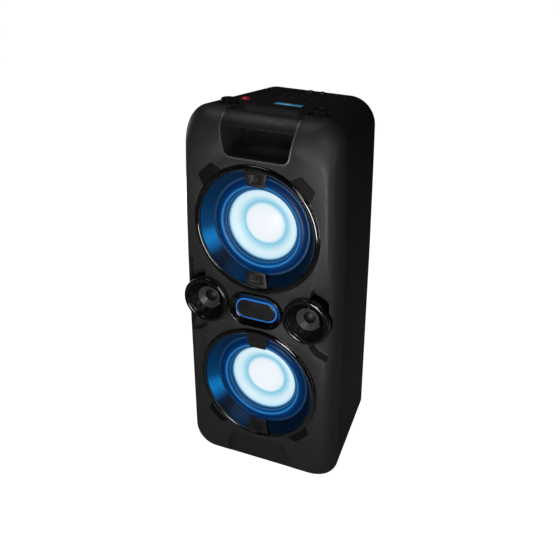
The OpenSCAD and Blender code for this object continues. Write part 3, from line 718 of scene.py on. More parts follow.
def pushed(name, pts, d0, d1):
    verts = [(x, FY + d0, z) for x, z in pts] + [(x, FY + d1, z) for x, z in pts]
    n = len(pts)
    faces = [(i, (i + 1) % n, n + (i + 1) % n, n + i) for i in range(n)] + [list(range(n)), list(range(2 * n - 1, n - 1, -1))]
    return new_obj(name, verts, faces)


def plan(name, pts, z0, z1):
    verts = [(x, FY + d, z0) for x, d in pts] + [(x, FY + d, z1) for x, d in pts]
    n = len(pts)
    faces = [(i, (i + 1) % n, n + (i + 1) % n, n + i) for i in range(n)] + [list(range(n)), list(range(2 * n - 1, n - 1, -1))]
    return new_obj(name, verts, faces)


def side(name, pts, x0, x1):
    verts = [(x0, FY + d, z) for d, z in pts] + [(x1, FY + d, z) for d, z in pts]
    n = len(pts)
    faces = [(i, (i + 1) % n, n + (i + 1) % n, n + i) for i in range(n)] + [list(range(n)), list(range(2 * n - 1, n - 1, -1))]
    return new_obj(name, verts, faces)


def grip_space(name, g, d1=None):
    a = pushed(name, grip_outline(g), -10, GRIP_D + g if d1 is None else d1)
    pts = ([(96, -20), (96, 2), (76 + g, 22), (58 + g, 58)] + arc(41.5 + g, GRIP_D + g - 14, 14, 10, 90, 10)
           + arc(-41.5 - g, GRIP_D + g - 14, 14, 90, 170, 10) + [(-58 - g, 58), (-76 - g, 22), (-96, 2), (-96, -20)])
    return boolean(a, [plan("t", pts, 600, 750)], "INTERSECT")


def cyl_y(name, x, z, r, d0, d1, n=128):
    return lathe(name, x, z, [(0, d0), (r, d0), (r, d1), (0, d1)], (), n=n, closed=False)


def pill_pts(w, h, z, n=24):
    return arc(w - h, z, h, -90, 90, n) + arc(-(w - h), z, h, 90, 270, n)


# ---- front shell
front = front_form("front_shell")
hollow = loft("t", [front_slice(90 * (i / 12) ** 1.4, WALL - 0.6, 5) for i in range(13)] + [(BEV + 1, front_slice(90, WALL)[1])])
boolean(front, [hollow])
for z in (LOW_Z, UP_Z):
    ring = lathe("t", 0, z, [(112, 4.0), (116, 4.0), (116, 32), (94, 32), (94, 28.2), (112, 28.2)], (), n=160)
    boolean(front, [ring], "UNION")
backing = pushed("t", [(-74, 2), (74, 2), (70, 62), (52, 85), (-52, 85), (-70, 62)], 2, 25)
ff = front_form("t2", seam=False)
boolean(backing, [ff], "INTERSECT")
boolean(front, [backing], "UNION")
for s in (-1, 1):
    pk = pushed("t", [(s * q[0], 200 + q[1]) for q in [(100, 84), (150, 84), (150, 256), (100, 248)]][::s], 2, 25)
    boolean(pk, [front_form("t2", seam=False)], "INTERSECT")
    boolean(front, [pk], "UNION")
for z in (LOW_Z, UP_Z):
    boolean(front, [cyl_y("t", 0, z, 112, -6, 28.2)])
for s in (-1, 1):
    boolean(front, [cyl_y("t", s * TW_X, TW_Z, 44.7, -6, 60, 128)])
boolean(front, [pushed("t", pill_pts(47, 26, BADGE_Z), -2, 12)])
# the scoop at the foot
sc = fillet([(-68.5, -5), (68.5, -5), (67.6, 46), (56, 78.8), (-56, 78.8), (-67.6, 46)], [0, 0, 26, 17, 17, 26], 8)
scoop = pushed("t", sc, -5, 60)
boolean(scoop, [side("t2", fillet([(-10, -10), (16, -10), (16, 46), (5, 80.6), (-10, 84)], [0, 0, 22, 4, 0], 8), -90, 90)], "INTERSECT")
boolean(front, [scoop])
# the pockets round the tweeters
for s in (-1, 1):
    pts = fillet([(s * q[0], q[1]) for q in [(104, 424), (112, 434), (136.5, 450), (139, 438), (140, 296), (138, 290), (116, 298), (104, 310)]], [4, 12, 5, 8, 8, 5, 14, 4], 5)
    boolean(front, [pushed("t", pts, -5, 19)])
boolean(front, [grip_space("t", 3.0)])
def scoop_edge(e):
    c_ = (e.verts[0].co + e.verts[1].co) / 2
    return c_.z * 1000 < 84 and abs(c_.x) * 1000 < 72 and c_.y * 1000 - FY < 3.0


soften(front, 1.5, 3, sharp=34, where=scoop_edge)
soften(front, 0.7, 2, sharp=46)
front.data.materials.append(M["front"])
place(front, "root", ["front_baffle"])

# ---- rear shell
rear = rear_form("rear_shell")
inner = loft("t", [rear_slice(BEV - 4, WALL), rear_slice(BODY_D - 6, WALL)])
boolean(rear, [inner])
boolean(rear, [grip_space("t", 3.0)])


def panel_pts(g):
    return (arc(68 + g, 224 + g, 12, 0, 90, 8) + arc(-68 - g, 224 + g, 12, 90, 180, 8)
            + [(-106 - g, 92), (-106 - g, 50 - g), (-68 + g, 50 - g), (-63 + g, 65 - g), (-50 + g, 80 - g),
               (50 - g, 80 - g), (63 - g, 65 - g), (68 - g, 50 - g), (106 + g, 50 - g), (106 + g, 92)])


def flat_prism(name, pts, z0, z1, mats=(), edge=0.0, seg=3):
    """An outline lying in XY pushed from z0 up to z1, with its top edge rounded."""
    ob = prism(name, pts, -z1, -z0, mats, edge=edge, seg=seg, axis="z")
    ob.data.transform(Matrix.Scale(-1, 4, Vector((0, 0, 1))))
    ob.data.flip_normals()
    finish_mesh(ob)
    return ob


def panel_space(name, g, z0, z1):
    ob = flat_prism(name, panel_pts(g), z0, z1)
    ob.data.transform(Matrix.Translation((0, -160 * MM, 0)))
    return on_top(ob, 0, 160)


boolean(rear, [panel_space("t", 0.5, -3.2, 20)])
boolean(rear, [panel_space("t", -5, -20, 2)])
for s in (-1, 1):
    w = turned_z("t", [(0, -12), (21.4, -12), (21.4, 2), (0, 2)], (), 64, closed=False)
    boolean(rear, [on_top(w, s * 84, 72)])


def back_prism(name, w, l, r, d0, d1, mats=(), x=0.0, z=250.0, edge=0.0):
    """A rounded plate standing on the back, between depths d0 and d1 in front of the back face."""
    ob = flat_prism(name, round_rect(w, l, r), -d1, -d0, mats, edge=edge)
    # local z -> outwards (+Y), local y -> Z
    mt = Matrix(((-1, 0, 0, x * MM), (0, 0, 1, (FY + BODY_D) * MM), (0, 1, 0, z * MM), (0, 0, 0, 1)))
    ob.data.transform(mt)
    finish_mesh(ob)
    return ob


boolean(rear, [back_prism("t", 164, 304, 8, -10, 4.3)])
boolean(rear, [back_prism("t", 150, 290, 6, -10, 20)])
for x in (-78, 78):
    for z in (104, 201, 299, 396):
        boolean(rear, [cyl_y("t", x, z, 1.75, BODY_D - 12, BODY_D + 10, 24)])
soften(rear, 0.7, 2, sharp=34)
rear.data.materials.append(M["cab"])
place(rear, "root", ["rear_cabinet"])
# tongue of the parting line
tongue = loft("shell_joint_tongue", [(BEV - 3, front_slice(90, 1.3)[1]), (BEV + 3, front_slice(90, 1.3)[1])])
inner = loft("t", [(BEV - 4, front_slice(90, 2.6)[1]), (BEV + 4, front_slice(90, 2.6)[1])])
boolean(tongue, [inner])
boolean(tongue, [grip_space("t", 3.4)])
finish_mesh(tongue)
tongue.data.materials.append(M["pocket"])
place(tongue, "root")

# ---- handle pocket and bar
pocket = grip_space("handle_pocket_liner", 2.9)
cutter = grip_space("t", 0.0)
cutter.data.transform(Matrix.Translation((0, -0.5 * MM, 0)))
boolean(pocket, [cutter])
boolean(pocket, [pushed("t", [(-120, 600), (120, 600), (120, 800), (-120, 800)], -60, -0.0)])
skin = loft("t", [front_slice(90 * (i / 20) ** 1.5) for i in range(21)] + [rear_slice(GRIP_D + 8)])
boolean(pocket, [skin], "INTERSECT")
def front_inner(e):
    c_ = (e.verts[0].co + e.verts[1].co) / 2
    return c_.y * 1000 - FY < 34 and abs(c_.x) * 1000 < 69.6 + max(0.0, (700 - c_.z * 1000) * -0.1) and inside_grip(c_)


def inside_grip(c_):
    """True on the inner edge of the liner, false on its outer edge."""
    x_, z_ = abs(c_.x) * 1000, c_.z * 1000
    if z_ > 668:
        lim = 60.3 + (68.0 - 60.3) * min(1.0, max(0.0, (z_ - 663.6) / (704 - 663.6))) + 1.3
        return x_ < lim
    r_ = math.hypot(max(0.0, x_ - 46.5), z_ - 666.0)
    return r_ < 15.3 if x_ > 46.5 else z_ > 650.7


soften(pocket, 1.9, 4, sharp=34, where=front_inner)
soften(pocket, 0.3, 2, sharp=50)
pocket.data.materials.append(M["pocket"])
pocket.data.materials.append(M["edge"])
# the rim of the liner is smoother and painted much lighter, a painted highlight on its rounded edge; its inside is
# textured
for f in pocket.data.polygons:
    d_ = f.center.y * 1000 - FY
    if f.normal.y < -0.12 and d_ < 30:
        f.material_index = 1
place(pocket, "root", ["handle_pocket"])

bar = side("handle_grip_bar", fillet([(-2, 705.5), (4, 705.5), (6, 704), (9, 702.4), (13, 701.4), (20, 701.6), (27, 704), (31.5, 708), (34.5, 713), (36, 718), (36.2, 730), (-2, 730)],
                                     [0, 1, 2, 3, 3, 4, 4, 4, 3, 2, 0, 0], 4), -80, 80)
boolean(bar, [front_form("t", seam=False)], "INTERSECT")
gs = grip_space("t", -0.2)
boolean(bar, [gs], "INTERSECT")
soften(bar, 1.5, 4, sharp=28)
bar.data.materials.append(M["handle"])
bar.data.materials.append(M["edge"])
for f in bar.data.polygons:          # the lower front edge is smoother and painted much lighter, a painted highlight
    d_ = f.center.y * 1000 - FY
    if f.center.z * 1000 < 707.2 and d_ < 9.5 and f.normal.z < 0.25 and f.normal.z > -0.93:
        f.material_index = 1
place(bar, "root", ["handle_bar"])

# ------------------------------------------------------------------ woofers
def ring_xy(zc, a, u, v):
    """A point u out from the woofer's axis and v along the tangent, at angle a from +X."""
    t = math.radians(a)
    return (u * math.cos(t) - v * math.sin(t), zc + u * math.sin(t) + v * math.cos(t))


def lug(name, zc, a, r):
    al = math.degrees(math.asin(24.2 / 120.2))
    inner = [(120.15 * math.cos(math.radians(t)), 120.15 * math.sin(math.radians(t))) for t in [al - 2 * al * i / 10 for i in range(11)]]
    pts = inner[::-1] + fillet([(inner[0][0], 24.2), (122.5, 23.6), (r, 17), (r, -17), (122.5, -23.6), (inner[0][0], -24.2)], [0, 1.5, 2.5, 2.5, 1.5, 0], 4, closed=False)
    pts = [p for i, p in enumerate(pts) if i == 0 or (Vector(p) - Vector(pts[i - 1])).length > 0.05]
    out = [ring_xy(zc, a, u, v) for u, v in pts]
    pad = prism(name, out, -1.6, -0.05, M["lug"], edge=0.45, seg=3)
    # shallow sunk field inside a narrow raised lip
    whole = pad.data.copy()
    for q in (0.0, 0.35, 0.7):
        k = [(123.5 + q, 20.6 - q), (r - 2.4 - q, 15.2 - q), (r - 2.4 - q, -15.2 + q), (123.5 + q, -20.6 + q)]
        field = prism("t", [ring_xy(zc, a, u, v) for u, v in fillet(k, 2.0, 4)], -3.0, -1.15, (), edge=0)
        boolean(pad, [field])
        if len(pad.data.polygons) > 20:
            break
        pad.data = whole.copy()      # the cut came out empty at this angle: start again from the whole pad
    finish_mesh(pad, 28)
    return pad


def clip(name, zc, a):
    """A tab that reaches in over the reflector, narrower at its inner end."""
    prof = fillet([(112, -2.4), (103, -1.4), (84, 0.4), (81.0, 0.8), (80.2, 2.4), (81.0, 4.2), (112, 5.0)], [0, 4, 2, 1.0, 0.9, 0.9, 0], 4, closed=False)
    n = len(prof)
    verts, faces = [], []

    def hw(u): return 16.2 + (u - 80.4) * 5.9 / 30.1
    for sgn in (-1, 1):
        for u, d in prof:
            x, z = ring_xy(zc, a, u, sgn * hw(u))
            verts.append((x, FY + d, z))
    for i in range(n):
        j = (i + 1) % n
        faces.append((i, j, n + j, n + i))
    faces.append(list(range(n))[::-1]); faces.append([n + i for i in range(n)])
    c = new_obj(name, verts, faces, M["clip"])
    boolean(c, [cyl_y("t", 0, zc, 110.1, -10, 20, 200)], "INTERSECT")
    # a sunk rectangular seat with its screw boss
    seat = [ring_xy(zc, a, u, v) for u, v in fillet([(86.6, -8.0), (86.6, 8.0), (103.0, 9.6), (103.0, -9.6)], 1.2, 4)]
    boolean(c, [prism("t", seat, -6, 2.3, (), edge=0)])
    soften(c, 0.55, 2, sharp=32)
    x, z = ring_xy(zc, a, 94.6, 0.0)
    boss = lathe("t", x, z, fillet([(0, 0.9), (2.9, 0.7), (3.2, 1.1), (3.2, 2.6), (0, 2.6)], [0, 0.4, 0.2, 0, 0], 3, closed=False), M["steel"], n=32)
    slot_ = prism("t2", [ring_xy(zc, a, 94.6 + p, q) for p, q in [(-0.45, -2.2), (0.45, -2.2), (0.45, 2.2), (-0.45, 2.2)]], 0.0, 1.5)
    slot2 = prism("t3", [ring_xy(zc, a, 94.6 + p, q) for p, q in [(-2.2, -0.45), (-2.2, 0.45), (2.2, 0.45), (2.2, -0.45)]], 0.0, 1.5)
    boolean(boss, [slot_, slot2])
    finish_mesh(boss)
    return c, boss


def paint(node_name, mat):
    ob = N[node_name]
    if not ob.material_slots:
        ob.data.materials.append(mat)
    for sl in ob.material_slots:
        sl.material = mat


for w, zc in W.items():
    cone_body = w + "_cone_body"
    # gloss trim ring, one smooth roll with a fine inner lip
    roll = spline([(120.0, -1.5), (119.4, -2.9), (118.2, -4.0), (116.4, -4.65), (114.4, -4.75), (112.6, -4.3), (111.3, -3.3), (110.6, -1.9), (110.25, 0.4)], 5)
    prof = [(120.0, -0.05)] + roll + [(110.2, 7.0), (111.6, 7.0), (111.7, -0.05)]
    bez = lathe(w + "_bezel", 0, zc, prof, M["gloss"], n=240)
    place(bez, "root", [w + "_trim_ring"])
    step = lathe(w + "_bezel_shadow_step", 0, zc, fillet([(121.2, -0.02), (121.0, -0.62), (119.9, -0.62), (119.9, -0.02)], [0, 0.25, 0, 0], 3), M["gloss"], n=240)
    place(step, "root")
    for k, a in enumerate((46, 134) if w == "upper" else (226, 314)):
        place(lug("%s_lug_%d" % (w, k + 1), zc, a, 140 if w == "upper" else 134), "root")
    for k, a in enumerate((90, 270)):
        c, boss = clip("%s_clip_%d" % (w, k + 1), zc, a)
        place(c, "root")
        boss.name = "%s_clip_screw_%d" % (w, k + 1)
        place(boss, "root")
    # reflector: a shallow bowl with a rolled lip in front and a fine step before the light ring
    face = [(109.8, 0.6)] + [(109.6 - 15.4 * u, 1.2 + 18.6 * u ** 0.8) for u in [i / 22 for i in range(23)]]
    back = [(109.9 - 12.4 * u, 4.2 + 17.6 * u ** 0.8) for u in [1 - i / 22 for i in range(23)]]
    ref = lathe(w + "_reflector_bowl", 0, zc, face + [(93.95, 20.2), (93.95, 25.0), (96.4, 25.0)] + back, M[w + "_reflector"], n=240)
    for a in (90, 270):
        q = [ring_xy(zc, a, u, v) for u, v in [(79, -24), (79, 24), (112, 24), (112, -24)]]
        boolean(ref, [pushed("t", q, -10, 5.5)])
    finish_mesh(ref)
    place(ref, "root", [w + "_reflector"])
    lr = lathe(w + "_light_diffuser", 0, zc, fillet([(89.2, 20.4), (93.8, 20.4), (93.8, 23.8), (89.2, 23.8)], 0.6, 3), M["diffuser"], n=200)
    place(lr, "root", [w + "_light_ring"])
    # surround: half roll with two fine beads at its feet
    pr = [(67.4, 24.0), (68.4, 24.0), (68.8, 23.4), (69.2, 23.3), (69.6, 23.8)]
    pr += [(78.6 + 9.6 * math.cos(math.radians(180 - t)), 24 - 6.6 * math.sin(math.radians(t))) for t in range(12, 169, 6)]
    pr += [(88.6, 23.4), (89.0, 23.9), (93.6, 24.0), (93.6, 25.2), (88.4, 25.2)]
    pr += [(78.6 + 8.6 * math.cos(math.radians(t)), 25.2 - 6.6 * math.sin(math.radians(t))) for t in range(8, 173, 12)]
    pr += [(67.4, 25.2)]
    su = lathe(w + "_surround_roll", 0, zc, pr, M[w + "_surround"], n=240)
    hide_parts(w + "_surround")
    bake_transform(su)
    for v in su.data.vertices:
        rr = math.hypot(v.co.x, v.co.z - zc * MM) / MM
        t = max(0.0, min(1.0, (88.2 - rr) / (88.2 - 69.4)))
    # cone: gently curved flare, with a bead where the dust cap is glued
    cf = spline([(69.5, 26.7), (67.4, 27.6), (61.5, 31.0), (52, 35.9), (44.5, 39.4), (42.2, 40.2), (41.4, 40.0), (40.6, 40.7), (26.0, 46.2)], 5)
    cb = [(25.6, 46.2), (25.6, 48.2), (41.4, 42), (52, 37.5), (61.5, 32.6), (67.6, 29.6), (69.6, 27.0)]
    # the lip runs up to the surround
    co_ = lathe(w + "_cone_flare", 0, zc, [(68.6, 25.5), (69.4, 26.1)] + cf + cb, M[w + "_cone"], n=200)
    place(co_, cone_body, [w + "_cone"])
    dc = [(40.8 * u, 30.2 + 9.6 * u * u) for u in [i / 24 for i in range(25)]]
    db = [(40.0 * u, 31.2 + 8.7 * u * u) for u in [1 - i / 24 for i in range(25)]]
    cap = lathe(w + "_cap_dome", 0, zc, dc + db, M[w + "_cap"], n=200, closed=False)
    place(cap, cone_body, [w + "_dust_cap"])
    paint(w + "_basket", M["basket"]); paint(w + "_magnet", M["magnet"]); paint(w + "_spider", M["spider"]); paint(w + "_voice_coil", M["copper"])

# ------------------------------------------------------------------ tweeters
TW_R = 45.0
for s_, sd in ((-1, "left"), (1, "right")):
    cx = s_ * TW_X
    rim = [(44.4, 1.0), (44.4, -5.0)] + spline([(44.4, -5.4), (44.85, -7.4), (44.9, -9.0), (44.5, -10.8), (43.1, -12.2), (41.2, -12.75), (39.2, -12.5), (37.7, -11.5), (36.9, -10.2)], 5) + [(36.6, -8.0), (38.8, -6.0), (39.0, 1.0)]
    place(lathe(sd + "_pod_rim", cx, TW_Z, rim, M["horn"], n=160), "root", [sd + "_tweeter_horn"])
    # inner lip, then the fluted bowl
    lip = lathe(sd + "_pod_lip", cx, TW_Z, fillet([(36.8, -7.6), (35.7, -8.0), (34.9, -7.0), (34.9, -5.8), (36.8, -4.6)], [0, 0.4, 0.5, 0.3, 0], 3), M["horn"], n=160)
    place(lip, "root")
    prof = [(35.8, -6.2)] + spline([(35.0, -5.8), (32.6, -2.4), (29.6, 1.2), (26.2, 4.4), (22.6, 8.0), (20.6, 9.3)], 6) + [(14.8, 13.0), (14.8, 15.9), (36.0, 15.9), (36.0, 25.8), (38.8, 25.8), (38.8, -4.0)]
    v, f = lathe_raw(cx, TW_Z, prof, 192)
    nv = []
    for x, y, z in v:
        rr = math.hypot(x - cx, z - TW_Z); d = y - FY; th = math.atan2(z - TW_Z, x - cx)
        if d < 9.5 and rr < 35.5:
            k = max(0.0, min(1.0, (34.6 - rr) / 4)) * max(0.0, min(1.0, (rr - 21.0) / 4))
            m = 1 + 0.075 * k * (abs(math.cos(5 * th + 0.3)) ** 0.6 - 0.6)
            x = cx + (x - cx) * m; z = TW_Z + (z - TW_Z) * m
        nv.append((x, y, z))
    bowl = new_obj(sd + "_fluted_bowl", nv, f, M["bowl"], 40)
    place(bowl, "root")
    # phase ring: a short funnel on three struts
    inner = [(21.4 - 10.0 * u + 0.28 * math.sin(2 * math.pi * 4 * u), 2.3 + 8.7 * u) for u in [i / 32 for i in range(1, 32)]]
    pr = [(22.5, 3.2), (22.2, 2.4), (21.7, 2.15)] + inner + [(11.5, 11.05), (12.4, 11.6), (13.2, 11.3)]
    ring = lathe(sd + "_phase_funnel", cx, TW_Z, pr, M["phase"], n=128)
    place(ring, "root", [sd + "_phase_ring"])
    for k, a in enumerate((-30, -150, 90)):
        t = math.radians(a)
        q = [(cx + u * math.cos(t) - v2 * math.sin(t), TW_Z + u * math.sin(t) + v2 * math.cos(t)) for u, v2 in [(17.2, -1.2), (24.6, -1.2), (24.6, 1.2), (17.2, 1.2)]]
        place(prism("%s_phase_strut_%d" % (sd, k + 1), q, 5.4, 8.0, M["phase"], edge=0.4), "root")
    dm = [(12.6 * u, 9.4 + 5.4 * u * u) for u in [i / 14 for i in range(15)]] + [(13.4, 14.6), (14.4, 14.7), (14.4, 16.0), (0, 16.0)]
    place(lathe(sd + "_dome_membrane", cx, TW_Z, dm, M["dome"], n=96, closed=False), "root", [sd + "_dome"])
    paint(sd + "_tweeter_magnet", M["magnet"])

# ------------------------------------------------------------------ badge with its light ring


def pill_loft(name, rings, mats, closed=False, n=36):
    """rings: [(half length, half height, depth)] skinned in order."""
    verts, faces = [], []
    m = None
    for wd, h, d in rings:
        pts = pill_pts(wd, h, BADGE_Z, n)
        m = len(pts)
        verts += [(x, FY + d, z) for x, z in pts]
    k = len(rings)
    for j in range(k if closed else k - 1):
        j2 = (j + 1) % k
        for i in range(m):
            i2 = (i + 1) % m
            faces.append((j * m + i, j * m + i2, j2 * m + i2, j2 * m + i))
    if not closed:
        faces.append(list(range(m))); faces.append([(k - 1) * m + i for i in range(m)][::-1])
    return new_obj(name, verts, faces, mats, 30)


dish_rings = [(52.5, 33.0, -0.06), (52.5, 33.0, -7.0), (52.3, 32.8, -8.1), (51.8, 32.3, -8.8), (51.3, 31.8, -8.95), (50.8, 31.3, -8.7), (50.2, 30.8, -8.1),
              (48.2, 28.0, -6.0), (46.0, 25.1, -4.0), (44.2, 22.8, -2.5), (43.2, 21.8, -1.9), (41.9, 20.5, -1.75), (41.3, 20.1, -1.4), (41.2, 20.0, 5.9), (46.8, 25.8, 5.9), (46.8, 25.8, -0.06)]
place(pill_loft("badge_bowl", dish_rings, M["gloss2"], closed=True), "root", ["badge_dish"])
lt = [(41.0, 19.8, 5.8), (41.0, 19.8, -2.3), (40.6, 19.4, -2.9), (40.0, 18.8, -3.0), (39.1, 17.9, -2.9), (39.1, 17.9, -2.4), (39.0, 17.8, 5.8)]
place(pill_loft("badge_light_tube", lt, M["badge_light"], closed=True), "root", ["badge_light"])
bc = [(38.8, 17.6, 5.6), (38.8, 17.6, -2.6), (38.5, 17.3, -3.4), (37.8, 16.6, -3.85), (36.8, 15.6, -4.0), (22, 6.0, -4.0)]
M["badge_cap"] = gloss("badge_cap_smoked", (0.015, 0.0145, 0.0145), rough=0.26, coat=0.25)
place(pill_loft("badge_cap_plate", bc, M["badge_cap"]), "root", ["badge_cap"])

# ------------------------------------------------------------------ control panel on the sloping top
KX, KD, DISH = 84.0, 72.0, 4.8
PX, PD, MX, MD, LX, LD = -73.0, 114.0, 76.0, 116.0, 12.0, 111.0
RK = [(3.0, 228.0), (26.0, 228.0)]
BTN = [(-1 - 30, 188), (-1 - 10, 188), (-1 + 10, 188), (-1 + 30, 188), (3 - 30, 163), (3 - 10, 163), (3 + 10, 163), (3 + 30, 163)]

panel = flat_prism("control_panel", fillet(panel_pts(0.0), 0.0), -3.0, 0.0, (), edge=0.0)
panel.data.transform(Matrix.Translation((0, -160 * MM, 0)))
on_top(panel, 0, 160)
for s_ in (-1, 1):
    boolean(panel, [on_top(turned_z("t", [(0, -DISH - 2), (21, -DISH - 2), (21, -0.02), (0, -0.02)], (), 96, closed=False), s_ * KX, KD)], "UNION")
for s_ in (-1, 1):
    boolean(panel, [on_top(turned_z("t", [(0, -DISH), (18.2, -DISH), (18.9, -DISH + 0.5), (19.2, -DISH + 1.4), (19.4, 10), (0, 10)], (), 96, closed=False), s_ * KX, KD)])
    boolean(panel, [on_top(turned_z("t", [(0, -20), (5.4, -20), (5.4, 20), (0, 20)], (), 48, closed=False), s_ * KX, KD)])


def hole(x, d, r):
    boolean(panel, [on_top(turned_z("t", [(0, -10), (r, -10), (r, 10), (0, 10)], (), 48, closed=False), x, d)])


hole(PX, PD, 8.9); hole(MX, MD, 3.0)
for k in RK:
    hole(k[0], k[1], 3.0)
boolean(panel, [on_top(flat_prism("t", round_rect(60.4, 26.4, 3), -10, 10), LX, LD)])
for x, d in BTN:
    boolean(panel, [on_top(flat_prism("t", round_rect(12, 6.8, 2), -10, 10), x, d)])
for x in (-61, 67):
    boolean(panel, [on_top(flat_prism("t", round_rect(26, 5, 2.4, 8), -1.6, 10), x, 211)])
soften(panel, 0.45, 2, sharp=34)
panel.data.materials.append(M["panel"])
place(panel, "root", ["top_panel"])
# fine raised collars round the dishes, the power button and the level knob
for nm, x, d, r0, r1, h in (("left_dish_collar", -KX, KD, 19.4, 21.2, 0.35), ("right_dish_collar", KX, KD, 19.4, 21.2, 0.35), ("power_collar", PX, PD, 9.0, 10.6, 0.5), ("level_collar", MX, MD, 7.6, 8.6, 0.35)):
    c = turned_z(nm, fillet([(r0, -0.4), (r0, h), (r1, h), (r1, -0.4)], [0, 0.15, 0.25, 0], 3), M["panel"], 96)
    place(on_top(c, x, d), "root")


def knurled(name, prof, n_ridge, amp, zone, mat, n=240, sharp=28):
    """A turned knob whose side carries fine ridges between two heights."""
    verts, faces, rings = [], [], []
    for r, z in prof:
        if r < 1e-6:
            rings.append([len(verts)]); verts.append((0, 0, z))
        else:
            st = len(verts)
            for i in range(n):
                th = 2 * math.pi * i / n
                k = 1.0 if zone[0] <= z <= zone[1] and r > zone[2] else 0.0
                q = r - k * amp * (0.5 - 0.5 * math.cos(n_ridge * th)) ** 1.4
                verts.append((q * math.cos(th), q * math.sin(th), z))
            rings.append(list(range(st, st + n)))
    for j in range(len(prof) - 1):
        A, B = rings[j], rings[j + 1]
        for i in range(n):
            i2 = (i + 1) % n
            if len(A) == 1: faces.append((A[0], B[i], B[i2]))
            elif len(B) == 1: faces.append((A[i], B[0], A[i2]))
            else: faces.append((A[i], B[i], B[i2], A[i2]))
    return new_obj(name, verts, faces, mat, sharp)


for s_, nm in ((-1, "left_knob"), (1, "right_knob")):
    prof = [(0, -6.8), (4.5, -6.8), (4.5, 0.6), (15.4, 0.6), (15.9, 0.9), (16.0, 1.4), (15.9, 2.0), (15.4, 2.3), (15.2, 2.6), (15.1, 3.0), (14.9, 4.6), (14.7, 6.8), (14.5, 9.0), (14.3, 10.6), (14.2, 11.5), (13.7, 12.1), (12.9, 12.45), (12.0, 12.5),
            (11.4, 12.3), (11.0, 11.9), (10.6, 11.7), (6, 11.62), (0, 11.6)]
    kb = knurled(nm + "_grip", prof, 24, 0.9, (2.9, 11.5, 13.9), M["knob"])
    place(on_top(kb, s_ * KX, KD, -DISH), nm + "_body", [nm])
    tick = flat_prism(nm + "_pointer", round_rect(1.4, 5.0, 0.6, 4), 11.5, 12.05, M["phase"], edge=0.2)
    tick.data.transform(Matrix.Translation((0, 7.0 * MM, 0)))
    place(on_top(tick, s_ * KX, KD, -DISH), nm + "_body")
mk = knurled("mic_knob_grip", [(0, -7.4), (2.4, -7.4), (2.4, 0.5), (6.2, 0.5), (6.55, 0.8), (6.6, 1.3), (6.5, 2.2), (6.35, 4.6), (6.2, 7.6), (6.05, 9.6), (5.7, 10.6), (5.0, 11.0), (4.4, 10.7), (0, 10.5)], 12, 0.6, (1.8, 9.8, 5.9), M["knob"])
place(on_top(mk, MX, MD), "mic_knob_body", ["mic_knob"])
tick = flat_prism("mic_knob_pointer", round_rect(1.0, 2.4, 0.4, 4), 10.4, 10.9, M["phase"], edge=0.15)
tick.data.transform(Matrix.Translation((0, 2.6 * MM, 0)))
place(on_top(tick, MX, MD), "mic_knob_body")
for k, nm in zip(RK, ("rear_knob_a", "rear_knob_b")):
    rk = knurled(nm + "_cap", [(0, -7.4), (2.4, -7.4), (2.4, 0.5), (5.4, 0.5), (5.6, 0.8), (5.5, 1.4), (5.3, 3.2), (5.1, 4.4), (4.7, 5.0), (4.0, 5.2), (0, 5.2)], 12, 0.45, (1.2, 4.5, 4.9), M["rknob"], n=144)
    place(on_top(rk, *k), nm + "_body", [nm])

# power button: a faceted translucent crown on a round stem
fac = 6
verts, faces = [], []
levels = [(8.4, -6.0, 48), (8.4, 0.4, 48)]
pb = turned_z("power_button_cap", [(0, -6.0), (8.4, -6.0), (8.4, 0.2), (8.2, 0.6), (6.6, 1.7), (4.7, 3.0), (4.2, 3.2), (0, 3.2)], M["red"], fac * 6, closed=False)
for v_ in pb.data.vertices:          # cut the crown into flat facets
    z_ = v_.co.z / MM
    if z_ > 0.4:
        th = math.atan2(v_.co.y, v_.co.x); r_ = math.hypot(v_.co.x, v_.co.y)
        seg_ = 2 * math.pi / fac
        ph = (th % seg_) - seg_ / 2
        q = math.cos(seg_ / 2) / math.cos(ph)
        v_.co.x *= q; v_.co.y *= q
finish_mesh(pb, 18)
place(on_top(pb, PX, PD), "power_button_body", ["power_button"])

# push buttons with rounded edges and a shallow dimple on top
for i, (x, d) in enumerate(BTN):
    b_ = flat_prism("button_%d_key" % (i + 1), round_rect(11.2, 6.0, 1.8, 6), -6.0, 1.6, M["button"], edge=0.55, seg=4)
    dn = flat_prism("t", round_rect(7.6, 2.6, 1.2, 5), 1.25, 4, ())
    boolean(b_, [dn])
    finish_mesh(b_, 30)
    place(on_top(b_, x, d), "button_%d_body" % (i + 1), ["button_%d" % (i + 1)])

# display: dark bezel, recessed lit window, generic level bars behind the glass
M["lcd_bezel"] = gloss("display_bezel_black", (0.004, 0.004, 0.0045), rough=0.10)


def lcd_mat():
    m, nt, b = material("display_window_blue")
    co = nt.nodes.new("ShaderNodeTexCoord").outputs["Generated"]
    sp = nt.nodes.new("ShaderNodeSeparateXYZ"); nt.links.new(co, sp.inputs["Vector"])
    c = ramp(nt, sp.outputs["Y"], [(0.0, lin((86, 160, 198))), (0.45, lin((58, 136, 184))), (1.0, lin((22, 84, 134)))])
    nz = noise(nt, 160.0, 2.0)
    c2 = mixc(nt, remap(nt, nz, 0.0, 0.15), c, lin((120, 200, 232)))
    nt.links.new(c2, b.inputs["Emission Color"])
    b.inputs["Emission Strength"].default_value = 0.72
    b.inputs["Base Color"].default_value = (0.01, 0.04, 0.07, 1)
    nt.links.new(remap(nt, nz, 0.10, 0.16), b.inputs["Roughness"])
    b.inputs["Coat Weight"].default_value = 0.6
    return m


